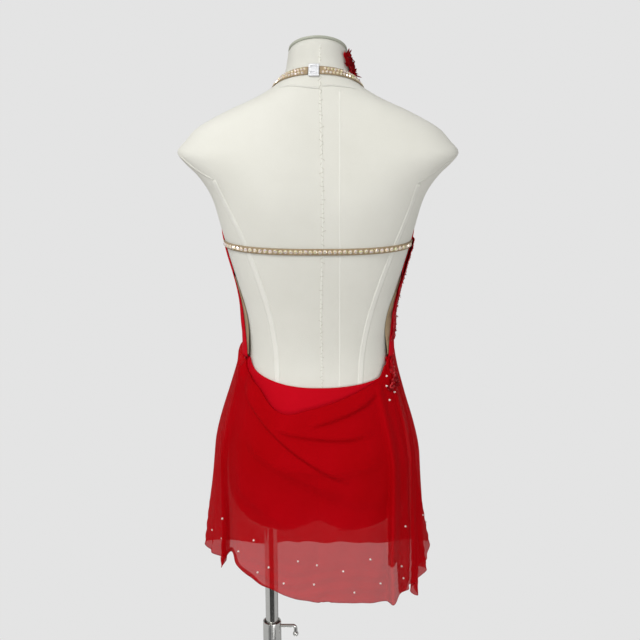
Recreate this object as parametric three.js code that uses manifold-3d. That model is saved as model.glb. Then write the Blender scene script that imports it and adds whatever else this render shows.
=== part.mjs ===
// A lyrical dance dress with an open back, worn on a limbless dress form that stands on a telescopic pole.
// Millimetres, +Z up. The front of the dress faces -Y and its left side, as worn, is +X.
// The origin is on the floor under the middle of the form.
import * as THREE from "three";
import { mergeVertices } from "three/addons/utils/BufferGeometryUtils.js";
import Module from "manifold-3d";

const wasm = await Module();
wasm.setup();

// Driving dimensions
const WAIST_HEIGHT = 1050; // floor to the waist of the form
const SEAM_GAP = 0.3; // between pieces that are sewn or set against each other
const CLOTH = 1.2; // wall of the stretch cloth, the mesh and the lace
const LINING = { gap: 0.7, wall: 1.0 };
const BODICE_GAP = 2.6; // form to the inside of the bodice and the brief
const SKIRT_GAP = BODICE_GAP + CLOTH + 2.2;
const LACE_GAP = 0.8; // between lace and the cloth it lies on

// Colours and finishes
const CREAM = new THREE.MeshStandardMaterial({ color: 0xe6e4d8, roughness: 0.9, metalness: 0 });
const RED_CLOTH = new THREE.MeshStandardMaterial({ color: 0xb00012, roughness: 0.75, metalness: 0 });
const RED_MESH = new THREE.MeshStandardMaterial({ color: 0xb4000f, roughness: 0.7, metalness: 0 });
const RED_LACE = new THREE.MeshStandardMaterial({ color: 0x8e0410, roughness: 0.7, metalness: 0 });
const NUDE = new THREE.MeshStandardMaterial({ color: 0xc9a27a, roughness: 0.8, metalness: 0 });
const CHROME = new THREE.MeshStandardMaterial({ color: 0xc8c8c6, roughness: 0.15, metalness: 1 });
const CAP_PAINT = new THREE.MeshStandardMaterial({ color: 0xb9bcae, roughness: 0.5, metalness: 0 });
const CLEAR_PLASTIC = new THREE.MeshStandardMaterial({ color: 0xf2f4f6, roughness: 0.2, metalness: 0 });

// Sections of the form. z is above the waist, half is half its width, front and back are its depths
// from the middle, and square is the power of its superellipse, 2 for an ellipse.
const FORM_SECTIONS = [
  { z: 436, half: 42, front: 44, back: 44, square: 2.0 },
  { z: 421, half: 44, front: 46, back: 47, square: 2.0 },
  { z: 405, half: 47.5, front: 48, back: 51, square: 2.0 },
  { z: 389, half: 57, front: 52, back: 57, square: 2.0 },
  { z: 376, half: 72, front: 55, back: 62, square: 2.0 },
  { z: 362, half: 101, front: 60, back: 68, square: 2.0 },
  { z: 350, half: 133, front: 64, back: 73, square: 2.1 },
  { z: 330, half: 174, front: 69, back: 79, square: 2.2 },
  { z: 312, half: 192, front: 73, back: 83, square: 2.3 },
  { z: 296, half: 205, front: 76, back: 85, square: 2.35 },
  { z: 282, half: 196, front: 79, back: 87, square: 2.4 },
  { z: 266, half: 179, front: 83, back: 88, square: 2.5 },
  { z: 239, half: 160, front: 90, back: 89, square: 2.5 },
  { z: 184, half: 143, front: 97, back: 85, square: 2.4 },
  { z: 148, half: 134, front: 91, back: 80, square: 2.3 },
  { z: 101, half: 121, front: 84, back: 73, square: 2.3 },
  { z: 60, half: 112, front: 79, back: 68, square: 2.25 },
  { z: 0, half: 106, front: 78, back: 67, square: 2.25 },
  { z: -30, half: 109, front: 81, back: 73, square: 2.25 },
  { z: -73, half: 118, front: 87, back: 86, square: 2.3 },
  { z: -123, half: 130, front: 90, back: 98, square: 2.35 },
  { z: -173, half: 137, front: 88, back: 104, square: 2.4 },
  { z: -225, half: 137, front: 82, back: 99, square: 2.45 },
  { z: -250, half: 134, front: 78, back: 92, square: 2.5 },
  { z: -264, half: 129, front: 74, back: 86, square: 2.5 },
  { z: -273, half: 120, front: 67, back: 78, square: 2.5 },
];
const NECK_TILT = { slope: 0.46, from: 300, to: 385 }; // the neck leans forward, so its rings slope down to the front
// Soft mounds on the form. out is along -Y for the front and +Y for the back.
const MOUNDS = [
  { side: "front", x: 68, z: 182, across: 36, along: 44, out: 31 },
  { side: "back", x: 60, z: -172, across: 46, along: 46, out: 8 },
  { side: "back", x: 74, z: 236, across: 42, along: 42, out: 5 },
];
const UNDERSIDE = { z: -280, notch: 22, notchWidth: 19, notchFrom: -200, notchTo: -272 };

// The pole enters the form off its middle, on its left side.
const POLE = { x: 76.5, y: 0, radius: 10.4, wall: 1.6, top: -210, bottom: -817 };
const BORE_RADIUS = 10.7;
const TUBE = { radius: 15, top: -477, funnel: 13.6, footRadius: 34, footHeight: 5, lip: 1.2 };
const BOLT = { radius: 3, drop: 10, reach: 24, bend: 5, hang: 15, ball: 4.7, hole: 3.3 };
const BASE = { radius: 170, thick: 8, chamfer: 1.5 };
const ROUND = 28; // sides of the turned parts

// Curves through the rows of a table, by the slopes between neighbours.
function tableAt(rows, key, at, column) {
  const down = rows[0][key] > rows[rows.length - 1][key];
  const sorted = down ? [...rows].reverse() : rows;
  const last = sorted.length - 1;
  if (at <= sorted[0][key]) return sorted[0][column];
  if (at >= sorted[last][key]) return sorted[last][column];
  const i = sorted.findIndex((row) => row[key] > at) - 1;
  const slope = (a, b) => (sorted[b][column] - sorted[a][column]) / (sorted[b][key] - sorted[a][key]);
  const here = slope(i, i + 1);
  const before = i > 0 ? (slope(i - 1, i) + here) / 2 : here;
  const after = i + 1 < last ? (here + slope(i + 1, i + 2)) / 2 : here;
  const width = sorted[i + 1][key] - sorted[i][key];
  const t = (at - sorted[i][key]) / width;
  const rise = sorted[i + 1][column] - sorted[i][column];
  return sorted[i][column] + t * t * (3 - 2 * t) * rise
    + width * t * (1 - t) * ((1 - t) * before - t * after);
}

const smooth = (from, to, at) => THREE.MathUtils.smoothstep((at - from) / (to - from), 0, 1);
const bump = (off, spread) => Math.exp(-(off ** 2) / (2 * spread ** 2)); // 1 in the middle, fading to 0
const mix = THREE.MathUtils.lerp;
const radians = THREE.MathUtils.degToRad;

// Distance from the middle of a superellipse at an angle from the front, positive towards +X.
function planRadius(angle, half, front, back, square) {
  const across = Math.abs(Math.sin(angle)) / half;
  const along = Math.abs(Math.cos(angle)) / (Math.cos(angle) > 0 ? front : back);
  return 1 / Math.pow(Math.pow(across, square) + Math.pow(along, square), 1 / square);
}

// The groove under the form between the two rounded ends of its seat.
function notchAt(x, z) {
  const { notch, notchWidth, notchFrom, notchTo } = UNDERSIDE;
  return notch * bump(x, notchWidth) * smooth(notchFrom, notchTo, z);
}

// A point of the form's skin at an angle from the front and a height above the waist.
function skin(angle, z) {
  const row = (column) => tableAt(FORM_SECTIONS, "z", z, column);
  const r = planRadius(angle, row("half"), row("front"), row("back"), row("square"));
  const point = new THREE.Vector3(r * Math.sin(angle), -r * Math.cos(angle), z);
  for (const { side, x, z: height, across, along, out } of MOUNDS) {
    const faces = side === "front" ? Math.cos(angle) : -Math.cos(angle);
    const near = bump(Math.abs(point.x) - x, across) * bump(z - height, along);
    point.y += (side === "front" ? -1 : 1) * out * near * smooth(0, 0.7, faces);
  }
  point.z += NECK_TILT.slope * smooth(NECK_TILT.from, NECK_TILT.to, z) * point.y + notchAt(point.x, z);
  return point;
}

// The outward direction of a surface given by two numbers, by small steps along both.
function outwardOf(surface, a, b, stepA, stepB) {
  const alongA = surface(a + stepA, b).sub(surface(a - stepA, b));
  const alongB = surface(a, b + stepB).sub(surface(a, b - stepB));
  return alongA.cross(alongB).normalize();
}

// A point above the form's skin.
function overSkin(angle, z, height) {
  return skin(angle, z).addScaledVector(outwardOf(skin, angle, z, 0.02, 1.5), height);
}

// A closed geometry from a grid of points, with a second grid for its other face.
function shell(outer, inner, columns, rows, round = false) {
  const across = round ? columns : columns + 1;
  const grid = (face) => {
    const points = [];
    for (let j = 0; j <= rows; j++)
      for (let i = 0; i < across; i++) points.push(face(i / columns, j / rows));
    return points;
  };
  const points = [...grid(outer), ...grid(inner)];
  const back = across * (rows + 1);
  const at = (i, j) => (i % across) + j * across;
  const index = [];
  const quad = (a, b, c, d) => index.push(a, b, c, a, c, d);
  for (let j = 0; j < rows; j++)
    for (let i = 0; i < columns; i++) {
      const [a, b, c, d] = [at(i, j), at(i + 1, j), at(i + 1, j + 1), at(i, j + 1)];
      const along = points[a].distanceTo(points[c]) <= points[b].distanceTo(points[d]);
      const halves = along ? [[a, b, c], [a, c, d]] : [[a, b, d], [b, c, d]]; // split at the shorter diagonal
      for (const [p, q, r] of halves) index.push(p, q, r, back + p, back + r, back + q);
    }
  for (let i = 0; i < columns; i++) {
    quad(back + at(i, 0), back + at(i + 1, 0), at(i + 1, 0), at(i, 0));
    quad(at(i, rows), at(i + 1, rows), back + at(i + 1, rows), back + at(i, rows));
  }
  if (!round)
    for (let j = 0; j < rows; j++) {
      quad(at(0, j), at(0, j + 1), back + at(0, j + 1), back + at(0, j));
      quad(back + at(columns, j), back + at(columns, j + 1), at(columns, j + 1), at(columns, j));
    }
  return facingOut(points, index);
}

// Turns every face round where a closed geometry is inside out.
function facingOut(points, index) {
  let volume = 0;
  for (let i = 0; i < index.length; i += 3) {
    const [a, b, c] = [points[index[i]], points[index[i + 1]], points[index[i + 2]]];
    volume += a.dot(new THREE.Vector3().crossVectors(b, c));
  }
  if (volume < 0) index.reverse();
  return new THREE.BufferGeometry().setFromPoints(points).setIndex(index);
}

// A wall of cloth between two edges that give angles and two that give heights. over places a point
// at an angle, a height and a distance from what the cloth lies on. crowd above 1 draws rows to the bottom.
function clothOver(over, { left, right, top, bottom, gap, thick, columns, rows, crowd = 1 }) {
  const place = (u, v, distance) => {
    const roughAngle = mix(left(0), right(0), u);
    const z = mix(bottom(roughAngle), top(roughAngle), (1 - v) ** crowd);
    return over(radians(mix(left(z), right(z), u)), z, distance);
  };
  return shell((u, v) => place(u, v, gap + thick), (u, v) => place(u, v, gap), columns, rows);
}
const clothOnForm = (shape) => clothOver(overSkin, shape);

// Solids for cutting and joining
function solidFrom(geometry) {
  const bare = geometry.index ? geometry.toNonIndexed() : geometry.clone();
  bare.deleteAttribute("normal");
  bare.deleteAttribute("uv");
  const merged = mergeVertices(bare, 1e-3);
  return new wasm.Manifold(new wasm.Mesh({
    numProp: 3,
    vertProperties: merged.attributes.position.array,
    triVerts: new Uint32Array(merged.index.array),
  }));
}

function geometryFrom(solid) {
  const mesh = solid.getMesh();
  return new THREE.BufferGeometry()
    .setAttribute("position", new THREE.BufferAttribute(mesh.vertProperties, 3))
    .setIndex(new THREE.BufferAttribute(mesh.triVerts, 1));
}

const dress = new THREE.Group();
dress.position.z = WAIST_HEIGHT; // the dress and the form are measured from the waist
const stand = new THREE.Group();
const root = new THREE.Group();
root.add(dress, stand);

function addNode(group, name, geometry, material) {
  const mesh = new THREE.Mesh(geometry, material);
  mesh.name = name;
  group.add(mesh);
  return mesh;
}

// A turned part about a vertical axis, from its radii and heights.
function turned(profile, x, y, sides = ROUND) {
  const points = profile.map(([radius, z]) => new THREE.Vector2(radius, z));
  return new THREE.LatheGeometry(points, sides).rotateX(Math.PI / 2).translate(x, y, 0);
}

// The radius whose flat sides still clear a round of the given radius.
const clearing = (radius, sides = ROUND) => radius / Math.cos(Math.PI / sides);

// The form: rings from the neck down to the rounded seat, and rings that close the underside.
function formGeometry() {
  const around = 44;
  const widen = 1.3; // spaces the points evenly on the wide sections
  const heights = [436, 420, 405, 393, 382, 372, 362, 352, 340, 326, 312, 302, 296, 288, 276, 262, 248, 235,
    222, 211, 201, 190, 177, 163, 146, 124, 96, 64, 32, 0, -32, -68, -106, -142, -175, -202, -222, -236, -248, -258,
    -267, -274];
  const closing = [{ scale: 0.86, z: -279 }, { scale: 0.6, z: UNDERSIDE.z }, { scale: 0.3, z: UNDERSIDE.z }];
  const angleAt = (i) => Math.atan2(widen * Math.sin((2 * Math.PI * i) / around), Math.cos((2 * Math.PI * i) / around));
  const points = [];
  for (const z of heights) for (let i = 0; i < around; i++) points.push(skin(angleAt(i), z));
  const lowest = heights[heights.length - 1];
  for (const { scale, z } of closing)
    for (let i = 0; i < around; i++) {
      const { x, y } = skin(angleAt(i), lowest);
      points.push(new THREE.Vector3(x * scale, y * scale, z + notchAt(x * scale, z)));
    }
  const rings = heights.length + closing.length;
  const topMiddle = points.length;
  points.push(skin(0, heights[0]).add(skin(Math.PI, heights[0])).multiplyScalar(0.5));
  const underMiddle = points.length;
  points.push(new THREE.Vector3(0, 0, UNDERSIDE.z + notchAt(0, UNDERSIDE.z)));
  const index = [];
  for (let i = 0; i < around; i++) {
    const next = (i + 1) % around;
    for (let j = 0; j + 1 < rings; j++) {
      const [a, b, c, d] = [i + j * around, next + j * around, next + (j + 1) * around, i + (j + 1) * around];
      index.push(a, d, c, a, c, b);
    }
    const low = (rings - 1) * around;
    index.push(topMiddle, i, next, underMiddle, low + next, low + i);
  }
  return facingOut(points, index);
}

function formWithBore() {
  const bore = turned([
    [0, UNDERSIDE.z - 40], [clearing(BORE_RADIUS), UNDERSIDE.z - 40],
    [clearing(BORE_RADIUS), POLE.top + SEAM_GAP], [0, POLE.top + SEAM_GAP],
  ], POLE.x, POLE.y);
  return geometryFrom(solidFrom(formGeometry()).subtract(solidFrom(bore)));
}

addNode(dress, "form", formWithBore(), CREAM);

// The turned cap on the neck, a little crowned, set along the neck's slope.
function neckCap() {
  const { half, front } = FORM_SECTIONS[0];
  const rings = [{ scale: 0.99, up: SEAM_GAP }, { scale: 1.0, up: 1.5 }, { scale: 0.99, up: 3.4 },
    { scale: 0.9, up: 5.2 }, { scale: 0.5, up: 6.6 }];
  const across = 24;
  const place = (angle, scale, up) => new THREE.Vector3(half * scale * Math.sin(angle),
    -front * scale * Math.cos(angle), FORM_SECTIONS[0].z + up - NECK_TILT.slope * front * scale * Math.cos(angle));
  const points = [];
  for (const { scale, up } of rings)
    for (let i = 0; i < across; i++) points.push(place((2 * Math.PI * i) / across, scale, up));
  const low = points.length;
  points.push(place(0, 0, SEAM_GAP), place(0, 0, 7));
  const index = [];
  for (let i = 0; i < across; i++) {
    const next = (i + 1) % across;
    for (let j = 0; j + 1 < rings.length; j++) {
      const [a, b, c, d] = [i + j * across, next + j * across, next + (j + 1) * across, i + (j + 1) * across];
      index.push(a, b, c, a, c, d);
    }
    const top = (rings.length - 1) * across;
    index.push(low, next, i, low + 1, top + i, top + next);
  }
  return facingOut(points, index);
}

addNode(dress, "neck_cap", neckCap(), CAP_PAINT);

// Edges of the pieces on the form. Angles are degrees from the middle of the front.
const SIDE_EDGE = [
  { z: 380, angle: 80 }, { z: 370, angle: 62 }, { z: 356, angle: 46 }, { z: 330, angle: 38 }, { z: 290, angle: 41 },
  { z: 255, angle: 50 },
  { z: 222, angle: 64 }, { z: 195, angle: 80 }, { z: 176, angle: 91 }, { z: 160, angle: 94 }, { z: 110, angle: 98 },
  { z: 60, angle: 101 }, { z: 20, angle: 103 }, { z: -20, angle: 106 },
];
const sideEdge = (z) => tableAt(SIDE_EDGE, "z", z, "angle");
const NECK_BAND = { z: 386, width: 11.8, gap: 0.6, thick: 1.8, clasp: 174.6, opening: 7.6 };
const WAIST_SEAM = -10;
const BACK_EDGE = { middle: -43, left: -20, right: -33, reach: 74 }; // top of the brief across the back
const LEG_LINE = [
  { angle: 0, z: -270 }, { angle: 19, z: -268 }, { angle: 35, z: -240 }, { angle: 60, z: -210 }, { angle: 90, z: -206 },
  { angle: 106, z: -229 }, { angle: 124, z: -258 }, { angle: 142, z: -269 }, { angle: 160, z: -270 },
  { angle: 180, z: -270 },
];
const legLine = (degrees) => tableAt(LEG_LINE, "angle", Math.abs(degrees), "z");

// The halter front, from the neck band to the waist, and round both sides to the open back.
addNode(dress, "bodice", clothOnForm({
  left: (z) => -sideEdge(z), right: sideEdge,
  top: () => NECK_BAND.z - NECK_BAND.width / 2 - SEAM_GAP, bottom: () => WAIST_SEAM,
  gap: BODICE_GAP, thick: CLOTH, columns: 24, rows: 27,
}), RED_CLOTH);

// The nude lining shows as a sliver inside each side edge of the open back.
function liningStrip(side) {
  const showing = { top: 112, bottom: -6, wide: 5.5, tucked: 10 };
  const bow = (z) => Math.sin((Math.PI * (showing.top - z)) / (showing.top - showing.bottom));
  return clothOnForm({
    left: (z) => side * (sideEdge(z) - showing.tucked),
    right: (z) => side * (sideEdge(z) + showing.wide * bow(z)),
    top: () => showing.top, bottom: () => showing.bottom,
    gap: LINING.gap, thick: LINING.wall, columns: 3, rows: 9,
  });
}
addNode(dress, "lining_left", liningStrip(1), NUDE);
addNode(dress, "lining_right", liningStrip(-1), NUDE);

// The brief under the skirt: a front, a back with the low dipped edge, and a gusset between the legs.
const sideSeam = 106;
addNode(dress, "brief_front", clothOnForm({
  left: () => -sideSeam + 0.2, right: () => sideSeam - 0.2,
  top: () => WAIST_SEAM - SEAM_GAP, bottom: legLine,
  gap: BODICE_GAP, thick: CLOTH, columns: 22, rows: 9, crowd: 1.5,
}), RED_CLOTH);

function backEdge(degrees) {
  const side = (degrees - 180) / BACK_EDGE.reach; // -1 at the left seam, 1 at the right seam
  const end = side < 0 ? BACK_EDGE.left : BACK_EDGE.right;
  return mix(BACK_EDGE.middle, end, Math.abs(side) ** 2.6);
}
addNode(dress, "brief_back", clothOnForm({
  left: () => sideSeam + 0.2, right: () => 360 - sideSeam - 0.2,
  top: backEdge, bottom: (degrees) => legLine(degrees > 180 ? 360 - degrees : degrees),
  gap: BODICE_GAP, thick: CLOTH, columns: 22, rows: 9, crowd: 1.5,
}), RED_CLOTH);

// The gusset follows the form from one edge of the brief under to the other. side is -1 at the front,
// scale draws a station in from the form's edge, and lean is how far it stands outwards for each step down.
const GUSSET = { half: 21, gap: 3, edge: -272 };
const GUSSET_STATIONS = [
  { side: -1, scale: 1, z: -272.6, lean: 0.9 }, { side: -1, scale: 0.96, z: -275, lean: 0.5 },
  { side: -1, scale: 0.84, z: -279, lean: 0.1 }, { side: -1, scale: 0.55, z: -280, lean: 0 },
  { side: 1, scale: 0.55, z: -280, lean: 0 }, { side: 1, scale: 0.84, z: -279, lean: 0.1 },
  { side: 1, scale: 0.96, z: -275, lean: 0.5 }, { side: 1, scale: 1, z: -272.6, lean: 0.9 },
];
function gusset() {
  const rows = GUSSET_STATIONS.length - 1;
  const face = (u, v, distance) => {
    const { side, scale, z, lean } = GUSSET_STATIONS[Math.round(v * rows)];
    const x = mix(-GUSSET.half, GUSSET.half, u);
    const middle = side < 0 ? 0 : Math.PI;
    const edge = Math.abs(skin(middle, GUSSET.edge).y);
    const y = skin(middle - (side * x) / edge, GUSSET.edge).y * scale;
    const down = distance / Math.hypot(1, lean);
    return new THREE.Vector3(x, y + side * lean * down, z + notchAt(x, z) - down);
  };
  return shell((u, v) => face(u, v, GUSSET.gap + CLOTH), (u, v) => face(u, v, GUSSET.gap), 6, rows);
}
addNode(dress, "gusset", gusset(), RED_CLOTH);

// Straps set with stones: the collar round the neck, open at the clasp, and the strap across the back.
addNode(dress, "neck_band", clothOnForm({
  left: () => NECK_BAND.clasp + NECK_BAND.opening - 360, right: () => NECK_BAND.clasp - NECK_BAND.opening,
  top: () => NECK_BAND.z + NECK_BAND.width / 2, bottom: () => NECK_BAND.z - NECK_BAND.width / 2,
  gap: NECK_BAND.gap, thick: NECK_BAND.thick, columns: 44, rows: 1,
}), NUDE);

const BACK_STRAP = { z: 163, width: 9.5, gap: 0.6, thick: 1.8, end: 96 };
addNode(dress, "back_strap", clothOnForm({
  left: () => BACK_STRAP.end, right: () => 360 - BACK_STRAP.end,
  top: () => BACK_STRAP.z + BACK_STRAP.width / 2, bottom: () => BACK_STRAP.z - BACK_STRAP.width / 2,
  gap: BACK_STRAP.gap, thick: BACK_STRAP.thick, columns: 30, rows: 1,
}), NUDE);

// The skirt. Its top edge rides the waist and dips across the back in a cowl; its hem is uneven.
// Angles are degrees from the middle of the front, positive to the left side as worn.
const SKIRT_TOP = [
  { angle: -180, z: -67 }, { angle: -155, z: -55 }, { angle: -137, z: -45 }, { angle: -118, z: -33 },
  { angle: -108, z: -14 }, { angle: -98, z: 4 }, { angle: -88, z: 8 }, { angle: -60, z: 4 }, { angle: 0, z: 0 },
  { angle: 60, z: 4 }, { angle: 88, z: 8 }, { angle: 96, z: 2 }, { angle: 104, z: -24 }, { angle: 116, z: -35 },
  { angle: 128, z: -47 }, { angle: 140, z: -66 }, { angle: 148, z: -75 }, { angle: 157, z: -77 }, { angle: 170, z: -71 },
  { angle: 180, z: -67 },
];
const SKIRT_HEM = [
  { angle: -180, z: -374 }, { angle: -150, z: -379 }, { angle: -128, z: -388 }, { angle: -116, z: -382 },
  { angle: -107, z: -379 }, { angle: -97, z: -418 }, { angle: -88, z: -390 }, { angle: -76, z: -392 },
  { angle: -65, z: -380 }, { angle: -38, z: -393 }, { angle: 0, z: -396 }, { angle: 40, z: -392 },
  { angle: 67, z: -375 }, { angle: 82, z: -366 }, { angle: 98, z: -358 }, { angle: 106, z: -334 },
  { angle: 116, z: -332 }, { angle: 130, z: -349 }, { angle: 150, z: -363 }, { angle: 180, z: -374 },
];
// Folds that hang from the waist. top and hem are how far each stands out at the two ends, and late is
// how low on the skirt it opens: 1 is even, more is later. At the waist seam itself they are gathered in.
const SKIRT_FOLDS = [
  { angle: 67, spread: 9, top: 13, hem: 64, late: 1 }, { angle: 91, spread: 11, top: 9, hem: 3, late: 1.15 },
  { angle: 99, spread: 6, top: 2, hem: 9, late: 1.15 }, { angle: 121, spread: 6, top: 1, hem: 6, late: 1.15 },
  { angle: -126, spread: 5, top: 4, hem: 14, late: 1.15 }, { angle: -107, spread: 5, top: 5, hem: 12, late: 1.15 },
  { angle: -87, spread: 6.5, top: 10, hem: 25, late: 1.15 }, { angle: -65, spread: 8, top: 8, hem: 66, late: 1.4 },
  { angle: -40, spread: 7, top: 5, hem: 12, late: 1.15 }, { angle: -17, spread: 7, top: 6, hem: 15, late: 1.15 },
  { angle: 6, spread: 6, top: 5, hem: 11, late: 1.15 }, { angle: 27, spread: 7, top: 6, hem: 16, late: 1.15 },
  { angle: 46, spread: 6, top: 4, hem: 10, late: 1.15 },
];
const GATHERED = 16; // height below the waist seam over which the folds open
const SKIRT_HANG = { fullest: -178, half: 143, front: 110, back: 117, square: 2.4 }; // plan of the hem between folds
// Soft diagonal drapes of the cowl across the seat, from one angle and height to another.
const COWL_DRAPES = [
  { fromAngle: 118, fromZ: -60, toAngle: 208, toZ: -132, spread: 10, out: 4 },
  { fromAngle: 150, fromZ: -108, toAngle: 230, toZ: -88, spread: 8, out: 3 },
  { fromAngle: 186, fromZ: -86, toAngle: 240, toZ: -52, spread: 7, out: 3 },
];
const halfTurned = (degrees) => (degrees > 180 ? degrees - 360 : degrees);
const skirtTop = (degrees) => tableAt(SKIRT_TOP, "angle", halfTurned(degrees), "z");
const skirtHem = (degrees) => tableAt(SKIRT_HEM, "angle", halfTurned(degrees), "z");

// How far the drapes lift the back at a place.
function drapeAt(degrees, z) {
  let lift = 0;
  for (const { fromAngle, fromZ, toAngle, toZ, spread, out } of COWL_DRAPES) {
    const along = (degrees - fromAngle) / (toAngle - fromAngle);
    if (along <= 0 || along >= 1) continue;
    const sag = 10 * Math.sin(Math.PI * along); // each drape hangs a little below a straight line
    const off = z - mix(fromZ, toZ, along) + sag;
    lift += out * Math.sin(Math.PI * along) * bump(off, spread);
  }
  return lift;
}

// A point of the inside of the skirt.
function skirtFace(angle, z) {
  const degrees = THREE.MathUtils.radToDeg(angle);
  const { fullest, half, front, back, square } = SKIRT_HANG;
  const body = skin(angle, Math.max(z, fullest));
  const close = Math.hypot(body.x, body.y) + SKIRT_GAP;
  const hang = Math.max(close, planRadius(angle, half, front, back, square));
  const [top, hem] = [skirtTop(degrees), skirtHem(degrees)];
  const drop = THREE.MathUtils.clamp((top - z) / (top - hem), 0, 1);
  let radius = mix(close, hang, smooth(-110, -380, z));
  const open = smooth(0, GATHERED, top - z);
  for (const fold of SKIRT_FOLDS) {
    const off = halfTurned((degrees - fold.angle + 540) % 360 - 180);
    radius += open * mix(fold.top, fold.hem, drop ** fold.late) * bump(off, fold.spread);
  }
  radius += drapeAt(degrees < 0 ? degrees + 360 : degrees, z);
  return new THREE.Vector3(radius * Math.sin(angle), -radius * Math.cos(angle), z);
}

function overSkirt(angle, z, distance) {
  return skirtFace(angle, z).addScaledVector(outwardOf(skirtFace, angle, z, 0.01, 1), distance);
}

const SKIRT_SEAM = { left: 104, right: 244 };
addNode(dress, "skirt_front", clothOver(overSkirt, {
  left: () => SKIRT_SEAM.right - 360 + 0.3, right: () => SKIRT_SEAM.left - 0.3,
  top: skirtTop, bottom: skirtHem, gap: 0, thick: CLOTH, columns: 64, rows: 10,
}), RED_MESH);
addNode(dress, "skirt_back", clothOver(overSkirt, {
  left: () => SKIRT_SEAM.left, right: () => SKIRT_SEAM.right,
  top: skirtTop, bottom: skirtHem, gap: 0, thick: CLOTH, columns: 34, rows: 11,
}), RED_MESH);

// Lace set with stones and sequins, cut to a leafy outline: at the right side of the bodice,
// over the right hip, and up the right side of the neck.
const leafy = (at, length, deep) => deep * (0.6 * Math.sin(at / length) + 0.4 * Math.sin(at / (0.43 * length) + 1.3));
addNode(dress, "lace_side", clothOver(overSkin, {
  left: (z) => -(sideEdge(z) + 1.5 + leafy(z, 7, 1.6)), right: (z) => -(sideEdge(z) - 21 + leafy(z, 11, 5)),
  top: () => 168, bottom: () => 16, gap: BODICE_GAP + CLOTH + LACE_GAP, thick: CLOTH, columns: 4, rows: 20,
}), RED_LACE);
addNode(dress, "lace_hip", clothOver(overSkirt, {
  left: (z) => -(124 + leafy(z, 5, 3)), right: (z) => -(99 + leafy(z, 6, 3)),
  top: (degrees) => skirtTop(degrees) - 2 + leafy(degrees, 3, 1), bottom: () => -76,
  gap: CLOTH + 0.8 * LACE_GAP, thick: CLOTH, columns: 10, rows: 6,
}), RED_LACE);
addNode(dress, "lace_neck", clothOver(overSkin, {
  left: (z) => -(118 + leafy(z, 5, 5)), right: (z) => -(74 + leafy(z, 6, 5)),
  top: (degrees) => 424 + leafy(degrees, 4, 5), bottom: () => NECK_BAND.z + NECK_BAND.width / 2 + 1,
  gap: 2.2, thick: CLOTH, columns: 8, rows: 5,
}), RED_LACE);

// The clear hook clasp that closes the collar: a frame with a tongue across its window.
const CLASP = { width: 14.6, height: 17.5, thick: 2.6, rim: 3.2, corner: 3, tongue: 5, off: 1.0 };
function claspGeometry() {
  const { width, height, thick, rim, corner, tongue } = CLASP;
  const shape = new THREE.Shape();
  const [w, h] = [width / 2, height / 2];
  shape.moveTo(-w + corner, -h).lineTo(w - corner, -h).quadraticCurveTo(w, -h, w, -h + corner)
    .lineTo(w, h - corner).quadraticCurveTo(w, h, w - corner, h).lineTo(-w + corner, h)
    .quadraticCurveTo(-w, h, -w, h - corner).lineTo(-w, -h + corner).quadraticCurveTo(-w, -h, -w + corner, -h);
  const window = new THREE.Path();
  const reach = w - rim - 1;
  window.moveTo(-w + rim, -h + rim).lineTo(-w + rim, h - rim).lineTo(w - rim, h - rim)
    .lineTo(w - rim, tongue / 2).lineTo(-reach, tongue / 2).lineTo(-reach, -tongue / 2)
    .lineTo(w - rim, -tongue / 2).lineTo(w - rim, -h + rim).closePath();
  shape.holes.push(window);
  return new THREE.ExtrudeGeometry(shape, { depth: thick, bevelEnabled: false, curveSegments: 4 });
}
{
  const clasp = addNode(dress, "neck_clasp", claspGeometry(), CLEAR_PLASTIC);
  const angle = radians(NECK_BAND.clasp);
  const out = outwardOf(skin, angle, NECK_BAND.z, 0.02, 1.5);
  const along = skin(angle - 0.05, NECK_BAND.z).sub(skin(angle + 0.05, NECK_BAND.z)).normalize();
  clasp.position.copy(overSkin(angle, NECK_BAND.z, CLASP.off));
  clasp.setRotationFromMatrix(new THREE.Matrix4().makeBasis(along, out.clone().cross(along), out));
}

// The stand, measured from the floor
const fromFloor = (z) => z + WAIST_HEIGHT;

addNode(stand, "pole", turned([
  [POLE.radius - POLE.wall, fromFloor(POLE.bottom)], [POLE.radius, fromFloor(POLE.bottom)],
  [POLE.radius, fromFloor(POLE.top)], [POLE.radius - POLE.wall, fromFloor(POLE.top)],
  [POLE.radius - POLE.wall, fromFloor(POLE.bottom)],
], POLE.x, POLE.y), CHROME);

function outerTube() {
  const slide = clearing(POLE.radius + 0.4);
  const rim = fromFloor(TUBE.top);
  const foot = BASE.thick + SEAM_GAP;
  const tube = turned([
    [slide, foot], [TUBE.footRadius, foot], [TUBE.footRadius, foot + TUBE.footHeight - TUBE.lip],
    [TUBE.footRadius - TUBE.lip, foot + TUBE.footHeight], [TUBE.radius, foot + TUBE.footHeight],
    [TUBE.radius, rim - TUBE.lip], [TUBE.radius - TUBE.lip, rim], [TUBE.funnel, rim], [slide, rim - 6], [slide, foot],
  ], POLE.x, POLE.y);
  const hole = new THREE.CylinderGeometry(BOLT.hole, BOLT.hole, 20, 24).rotateZ(Math.PI / 2)
    .translate(POLE.x - TUBE.radius, POLE.y, rim - BOLT.drop);
  return geometryFrom(solidFrom(tube).subtract(solidFrom(hole)));
}
addNode(stand, "outer_tube", outerTube(), CHROME);

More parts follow.
